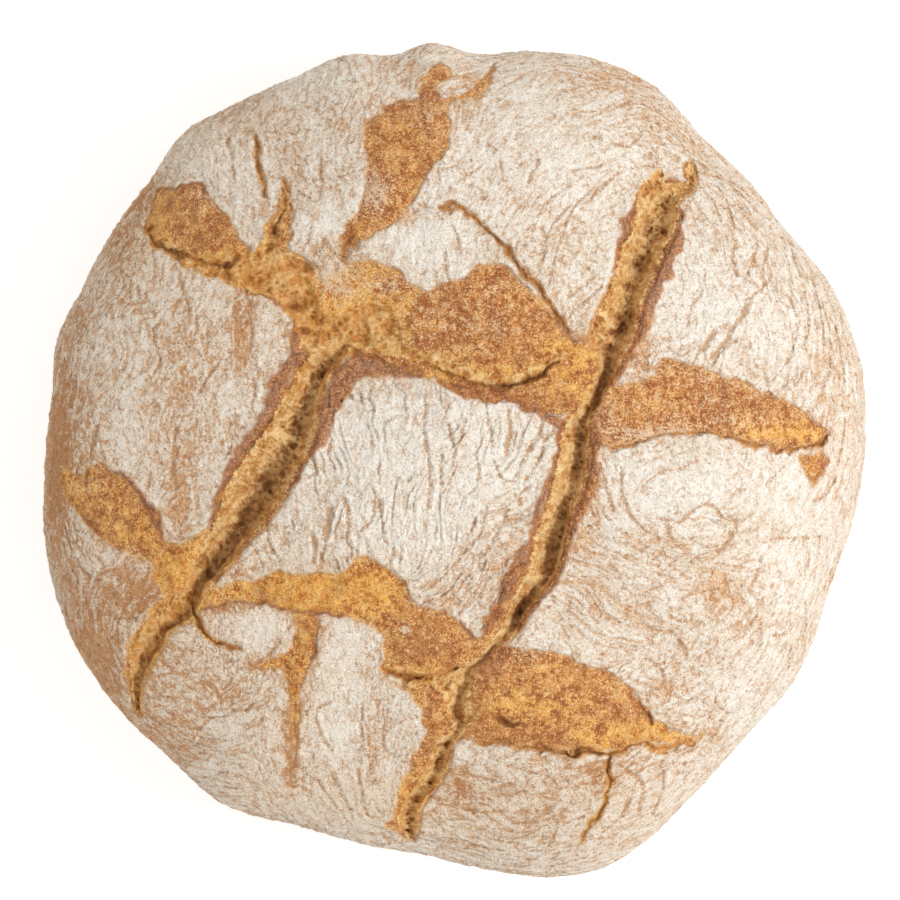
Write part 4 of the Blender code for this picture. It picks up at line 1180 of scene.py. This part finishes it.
# %% The crust
def crust_material():
    """Flour, bare crust, torn crumb and burnt rims, each cut off where its distance on the mesh says."""
    r = Recipe("floured crust")
    coarse, patchy, mottle = r.noise(14, 3), r.noise(5, 3), r.noise(2.2, 3, 0.6)
    grain, dust, pores = r.noise(0.9, 3, 0.7), r.noise(0.45, 2, 0.7), r.noise(1.6, 2, 0.6)
    speckle = (mottle - 0.5) * 1.2 + (grain - 0.5) * 1.5 + (dust - 0.5) * 1.1
    fray = (mottle - 0.5) * 2.8 + (grain - 0.5) * 3.0 + (dust - 0.5) * 1.2
    fine = (grain - 0.5) * 1.7 + (dust - 0.5) * 1.6

    bare_edge = r.rise(r.mark("bare") + fray, -0.5, 0.6)
    torn_edge = r.rise(r.mark("torn") + fray * 0.6, -0.1, 0.4)
    burnt_edge = r.rise(r.mark("burnt") + fray * 0.8, -0.7, 0.7)
    groove_edge = r.rise(r.mark("groove") + fray * 0.25, -0.25, 0.3)
    crack = 1 - r.rise(r.mark("wrinkle") + (mottle - 0.5) * 2.0 + fine * 1.1, -0.2, 0.3)
    hairline = 1 - r.rise(r.mark("seam") + (mottle - 0.5) * 1.4 + fine * 0.5, 0.0, 0.45)
    split = r.node("ShaderNodeMath", {"operation": "MAXIMUM"}, {0: crack, 1: hairline * 0.7})

    cake = r.mark("cake") + fine * 0.55 - split * 0.2
    between = r.blend(r.rise(mottle, 0.35, 0.65), paint(188, 130, 84), paint(226, 178, 128))
    between = r.blend(r.mark("golden") * mottle * 1.9, between, paint(178, 110, 44))
    powder = r.rise(r.mark("flour") + (patchy - 0.5) * 0.4, 0.35, 0.95)
    between = r.blend(powder, between, paint(220, 194, 164))
    sifted = r.rise(speckle + r.mark("flour") * 0.4 - r.mark("golden") * 0.3 + 0.1, 0.15, 0.5)
    between = r.blend(sifted * 0.65, between, paint(236, 216, 190))
    white = r.blend(r.rise(cake, 0.40, 1.0), paint(230, 212, 192), paint(246, 240, 230))
    white = r.blend(r.mark("golden") * 0.45, white, paint(222, 186, 144))
    floured = r.blend(r.rise(cake, 0.24, 0.50), between, white)
    floured = r.blend(split * 0.7, floured, paint(194, 146, 100))
    crackle = (1 - r.rise(r.mark("vein") + fine * 0.12, 0.0, 0.09)) * r.rise(patchy, 0.35, 0.6)
    floured = r.blend(crackle * 0.6, floured, paint(200, 152, 108))
    grains = r.rise(0 - fine, 0.05, 0.45) * (1.35 + r.mark("golden") * 0.4 - r.mark("flour"))
    floured = r.blend(grains * 0.75, floured, paint(202, 160, 118))
    specks = r.rise(pores + (dust - 0.5) * 0.5, 0.60, 0.72)
    floured = r.blend(specks * (1.3 - r.mark("flour")), floured, paint(160, 112, 76))

    tone = patchy * 0.2 + mottle * 0.35 + grain * 0.28 + dust * 0.17
    ruddy = r.blend(r.rise(tone, 0.42, 0.58), paint(160, 90, 38), paint(234, 168, 90))
    yellow = r.blend(r.rise(tone, 0.40, 0.56), paint(190, 110, 34), paint(242, 184, 92))
    gilt = r.mark("golden") + (patchy - 0.5) * 1.4 + (mottle - 0.5) * 1.4 + fine * 0.4
    bare_crust = r.blend(r.rise(gilt, 0.05, 0.7), ruddy, yellow)
    darker = r.rise(coarse + (mottle - 0.5) * 1.2, 0.52, 0.66) * 0.4
    bare_crust = r.blend(darker, bare_crust, paint(160, 100, 58))
    thin = 0.06 - r.mark("golden") * 0.12 + (patchy - 0.5) * 0.9
    thin = thin + r.rise(r.mark("bare"), 3.0, 0.0) * 0.2 + r.mark("dusted") * 0.3
    bare_crust = r.blend(r.rise(thin + fine * 1.1, 0.24, 0.6) * 0.65, bare_crust, paint(242, 208, 158))
    fallen = r.rise(r.mark("dusted") * 0.8 + speckle * 1.1, 0.24, 0.62)
    bare_crust = r.blend(fallen * 0.75, bare_crust, paint(230, 206, 178))
    bare_crust = r.blend(r.rise(1 - pores, 0.60, 0.72) * 0.5, bare_crust, paint(140, 82, 36))

    # Painted shade: the crumb darkens towards the bottom of each tear, as far as the tear has sunk.
    deep = r.rise(r.mark("hollow") + (mottle - 0.5) * 0.6 - r.mark("crumb") * 0.16, 0.35, 0.95)
    # The crumb's tone varies at random and in part follows its relief: raised walls get a painted highlight
    # and low pits painted shade.
    walls = r.mark("crumb") * 0.38 + r.mark("golden") * 0.15 + (mottle - 0.5) * 2.8
    walls = walls + fine * 0.9 + (patchy - 0.5) * 1.6
    pit_shade_and_tone, wall_highlight_and_tone = r.rise(walls, -0.9, 0.15), r.rise(walls, 0.1, 1.0)
    crumb_light = r.blend(pit_shade_and_tone, paint(144, 86, 34), paint(212, 150, 78))
    crumb_light = r.blend(wall_highlight_and_tone, crumb_light, paint(250, 214, 152))
    crumb_light = r.blend(r.mark("golden") * 0.45, crumb_light, paint(218, 146, 56))
    crumb_shaded = r.blend(pit_shade_and_tone, paint(114, 72, 36), paint(180, 126, 70))
    crumb_shaded = r.blend(wall_highlight_and_tone, crumb_shaded, paint(216, 172, 116))
    crumb = r.blend(deep, crumb_light, crumb_shaded)
    crumb = r.blend(r.mark("strand") * 0.4, crumb, paint(240, 196, 124))

    scorch = r.blend(r.rise(tone, 0.42, 0.58), paint(128, 68, 28), paint(200, 130, 70))
    scorch = r.blend(r.rise(patchy, 0.5, 0.62) * 0.45, scorch, paint(128, 82, 58))
    scorch = r.blend(r.rise(fine + 0.08, 0.20, 0.55) * 0.6, scorch, paint(224, 180, 136))
    # Painted shade: a crevice's colour darkens as the crevice gets deeper.
    gap = r.blend(r.rise(r.mark("hollow"), 0.1, 0.6), paint(200, 138, 72), paint(130, 84, 42))

    colour = r.blend(bare_edge, floured, bare_crust)
    colour = r.blend(burnt_edge * 0.9, colour, scorch)
    colour = r.blend(torn_edge, colour, crumb)
    colour = r.blend(groove_edge * 0.85, colour, gap)
    r.feed(r.shader.inputs["Base Color"], colour)

    lumps = grain * 0.5 + dust * 0.3 + mottle * 0.8
    bump = r.node("ShaderNodeBump", None, {"Strength": 0.85, "Distance": 0.0017, "Height": lumps}, out=0)
    r.feed(r.shader.inputs["Normal"], bump)
    r.feed(r.shader.inputs["Roughness"], 0.92 - bare_edge * 0.22)
    return r.material


crust = crust_material()
print("crust material has", len(crust.node_tree.nodes), "nodes")


# %% Nine fields of the skin
def skin_field(name, first_row, first_column):
    """One field of the grid with its marks, its normals and its own texture square."""
    rows = columns = FIELD_CELLS + 1
    cut = (slice(first_row, first_row + rows), slice(first_column, first_column + columns))
    points = np.moveaxis(skin[(slice(None), *cut)], 0, -1).reshape(-1, 3)
    piece = mesh_from_arrays(name, points, grid_faces(rows, columns), crust)
    mesh = piece.data
    for mark, values in marks.items():
        stored = mesh.attributes.new(mark, "FLOAT", "POINT")
        stored.data.foreach_set("value", values[cut].astype(np.float32).ravel())
    texture_square = mesh.uv_layers.new(name="OFBake")
    across, up = np.meshgrid(np.linspace(0.002, 0.998, columns), np.linspace(0.002, 0.998, rows))
    corner = np.empty(len(mesh.loops), np.int32)
    mesh.loops.foreach_get("vertex_index", corner)
    on_square = np.stack([across.ravel(), up.ravel()], axis=1)[corner]
    texture_square.data.foreach_set("uv", on_square.astype(np.float32).ravel())
    field_normals = np.moveaxis(normals[(slice(None), *cut)], 0, -1).reshape(-1, 3)
    mesh.normals_split_custom_set_from_vertices(field_normals.astype(np.float32))
    dress(piece)
    print(name, len(mesh.polygons) * 2, "triangles")


for back, row_name in enumerate(("front", "middle", "back")):
    for right, column_name in enumerate(("left", "centre", "right")):
        skin_field(f"crust_{row_name}_{column_name}", back * FIELD_CELLS, right * FIELD_CELLS)

# %% [markdown]
# ## The heel
#
# The loaf baked on a stone, so its underside is flat, evenly brown, with flour from the stone
# and a fine pebbled grain. It is a polar grid that tucks up inside the skin's lower edge. A plain
# disc would do for the form, but its edge would show as a gap.

# %% The underside
HEEL_RINGS = 60
HEEL_SPOKES = 360


def heel_points():
    """Rings from the foot's edge to the middle; the outermost two turn up inside the skin."""
    angle = np.linspace(0, 2 * math.pi, HEEL_SPOKES, endpoint=False)
    rim = FOOT_SHARE * outline_radius(angle)
    shares = np.concatenate([[0.995, 0.998], np.linspace(1, 0.02, HEEL_RINGS)])
    height = np.concatenate([[2.0, 0.6], np.zeros(HEEL_RINGS)]) * MM
    x = shares[:, None] * rim * np.cos(angle) - centre[0]
    y = shares[:, None] * rim * np.sin(angle) - centre[1]
    rings = np.stack([x, y, np.broadcast_to(height[:, None], x.shape)], axis=-1)
    pebbles = 0.25 * rough_noise([x / MM, y / MM, np.zeros_like(x)], 3.0, 81) + 0.25
    inwards = smooth_step((1 - shares[:, None]) / 0.03)
    rings[..., 2] += np.where(height[:, None] > 0, 0, pebbles * MM * inwards)
    return np.vstack([rings.reshape(-1, 3), [[-centre[0], -centre[1], 0.2 * MM]]])


def heel_faces():
    """Quads between the rings as pairs of triangles, and a fan round the middle, all facing down."""
    rings = HEEL_RINGS + 2
    ring, spoke = np.meshgrid(np.arange(rings - 1), np.arange(HEEL_SPOKES), indexing="ij")
    a = ring * HEEL_SPOKES + spoke
    b = ring * HEEL_SPOKES + (spoke + 1) % HEEL_SPOKES
    c, d = b + HEEL_SPOKES, a + HEEL_SPOKES
    halves = [np.stack([a, d, b], -1).reshape(-1, 3), np.stack([b, d, c], -1).reshape(-1, 3)]
    last = (rings - 1) * HEEL_SPOKES + np.arange(HEEL_SPOKES)
    middle = np.full(HEEL_SPOKES, rings * HEEL_SPOKES)
    fan = np.stack([last, middle, np.roll(last, -1)], -1)
    return np.vstack([*halves, fan])


def heel_material():
    """Stone-baked brown with a dusting of flour in the pebbled grain."""
    r = Recipe("stone baked heel")
    broad, grain, dust = r.noise(28, 3), r.noise(3.2, 3), r.noise(0.9, 2, 0.7)
    brown = r.blend(r.rise(broad, 0.35, 0.65), paint(142, 92, 52), paint(178, 124, 76))
    brown = r.blend(r.rise(grain, 0.55, 0.75) * 0.6, brown, paint(116, 70, 38))
    floury = r.rise(broad * 0.4 + dust * 0.6 + grain * 0.3, 0.66, 0.86)
    r.feed(r.shader.inputs["Base Color"], r.blend(floury * 0.75, brown, paint(226, 208, 184)))
    lumps = grain + dust * 0.4
    bump = r.node("ShaderNodeBump", None, {"Strength": 0.6, "Distance": 0.0006, "Height": lumps})
    r.feed(r.shader.inputs["Normal"], bump)
    r.shader.inputs["Roughness"].default_value = 0.85
    return r.material


heel = mesh_from_arrays("heel", heel_points(), heel_faces(), heel_material())
dress(heel)
print("heel", len(heel.data.polygons), "triangles")

# %% [markdown]
# ## Floor, light and camera
#
# The photograph looks straight down at a loaf cut out on white, lit softly from the right. A
# floor that glows faintly, a wide lamp on that side and a slightly warm sky give the same light.
# The camera hangs over the loaf's middle, at the height that the plan was drawn for.

# %% Floor
FLOOR_REACH = 3.0
FLOOR_GREY = 0.55
FLOOR_GLOW = 0.64
corners = np.array([[-1, -1, 0], [1, -1, 0], [1, 1, 0], [-1, 1, 0]]) * FLOOR_REACH
floor_paint = Recipe("pale floor")
floor_paint.shader.inputs["Base Color"].default_value = (FLOOR_GREY, FLOOR_GREY, FLOOR_GREY, 1)
floor_paint.shader.inputs["Roughness"].default_value = 0.9
floor_paint.shader.inputs["Emission Color"].default_value = (1, 1, 1, 1)
floor_paint.shader.inputs["Emission Strength"].default_value = FLOOR_GLOW
floor = mesh_from_arrays("floor", corners, np.array([[0, 1, 2, 3]]), floor_paint.material)
print("floor", 2 * FLOOR_REACH, "m wide")

# %% Light
LAMP_PLACE = (0.72, -0.04, 1.00)
LAMP_SIZE = 0.30
LAMP_WATTS = 9.8
LAMP_TINT = (0.965, 0.985, 1.0)
SKY_TINT = (1, 0.975, 0.93, 1)
SKY_STRENGTH = 0.78


def wide_lamp(name, place, size, watts):
    """A square soft lamp that faces the loaf."""
    lamp = bpy.data.lights.new(name, "AREA")
    lamp.shape, lamp.size, lamp.energy, lamp.color = "SQUARE", size, watts, LAMP_TINT
    holder = bpy.data.objects.new(name, lamp)
    holder.location = place
    holder.rotation_euler = (Vector((0, 0, 0.04)) - Vector(place)).to_track_quat("-Z", "Y").to_euler()
    bpy.context.scene.collection.objects.link(holder)
    return holder


wide_lamp("window", LAMP_PLACE, LAMP_SIZE, LAMP_WATTS)
sky = bpy.data.worlds.new("white sky")
sky.use_nodes = True
sky.node_tree.nodes["Background"].inputs["Color"].default_value = SKY_TINT
sky.node_tree.nodes["Background"].inputs["Strength"].default_value = SKY_STRENGTH
bpy.context.scene.world = sky
bpy.context.scene.view_settings.view_transform = "Standard"
print("one lamp and a pale sky")

# %% Camera
PHOTO_MIDDLE = flat_of_pixel(PHOTO_SIZE / 2, PHOTO_SIZE / 2)
view = bpy.data.cameras.new("view")
view.sensor_width = 36.0
view.lens = view.sensor_width * (CAMERA_HEIGHT - GIRTH_HEIGHT) / (PHOTO_SIZE * MM_PER_PIXEL * MM)
camera = bpy.data.objects.new("view", view)
camera.location = (PHOTO_MIDDLE[0] * MM - centre[0], PHOTO_MIDDLE[1] * MM - centre[1], CAMERA_HEIGHT)
bpy.context.scene.collection.objects.link(camera)
bpy.context.scene.camera = camera
print("lens", round(view.lens, 1), "mm at", [round(c, 4) for c in camera.location])
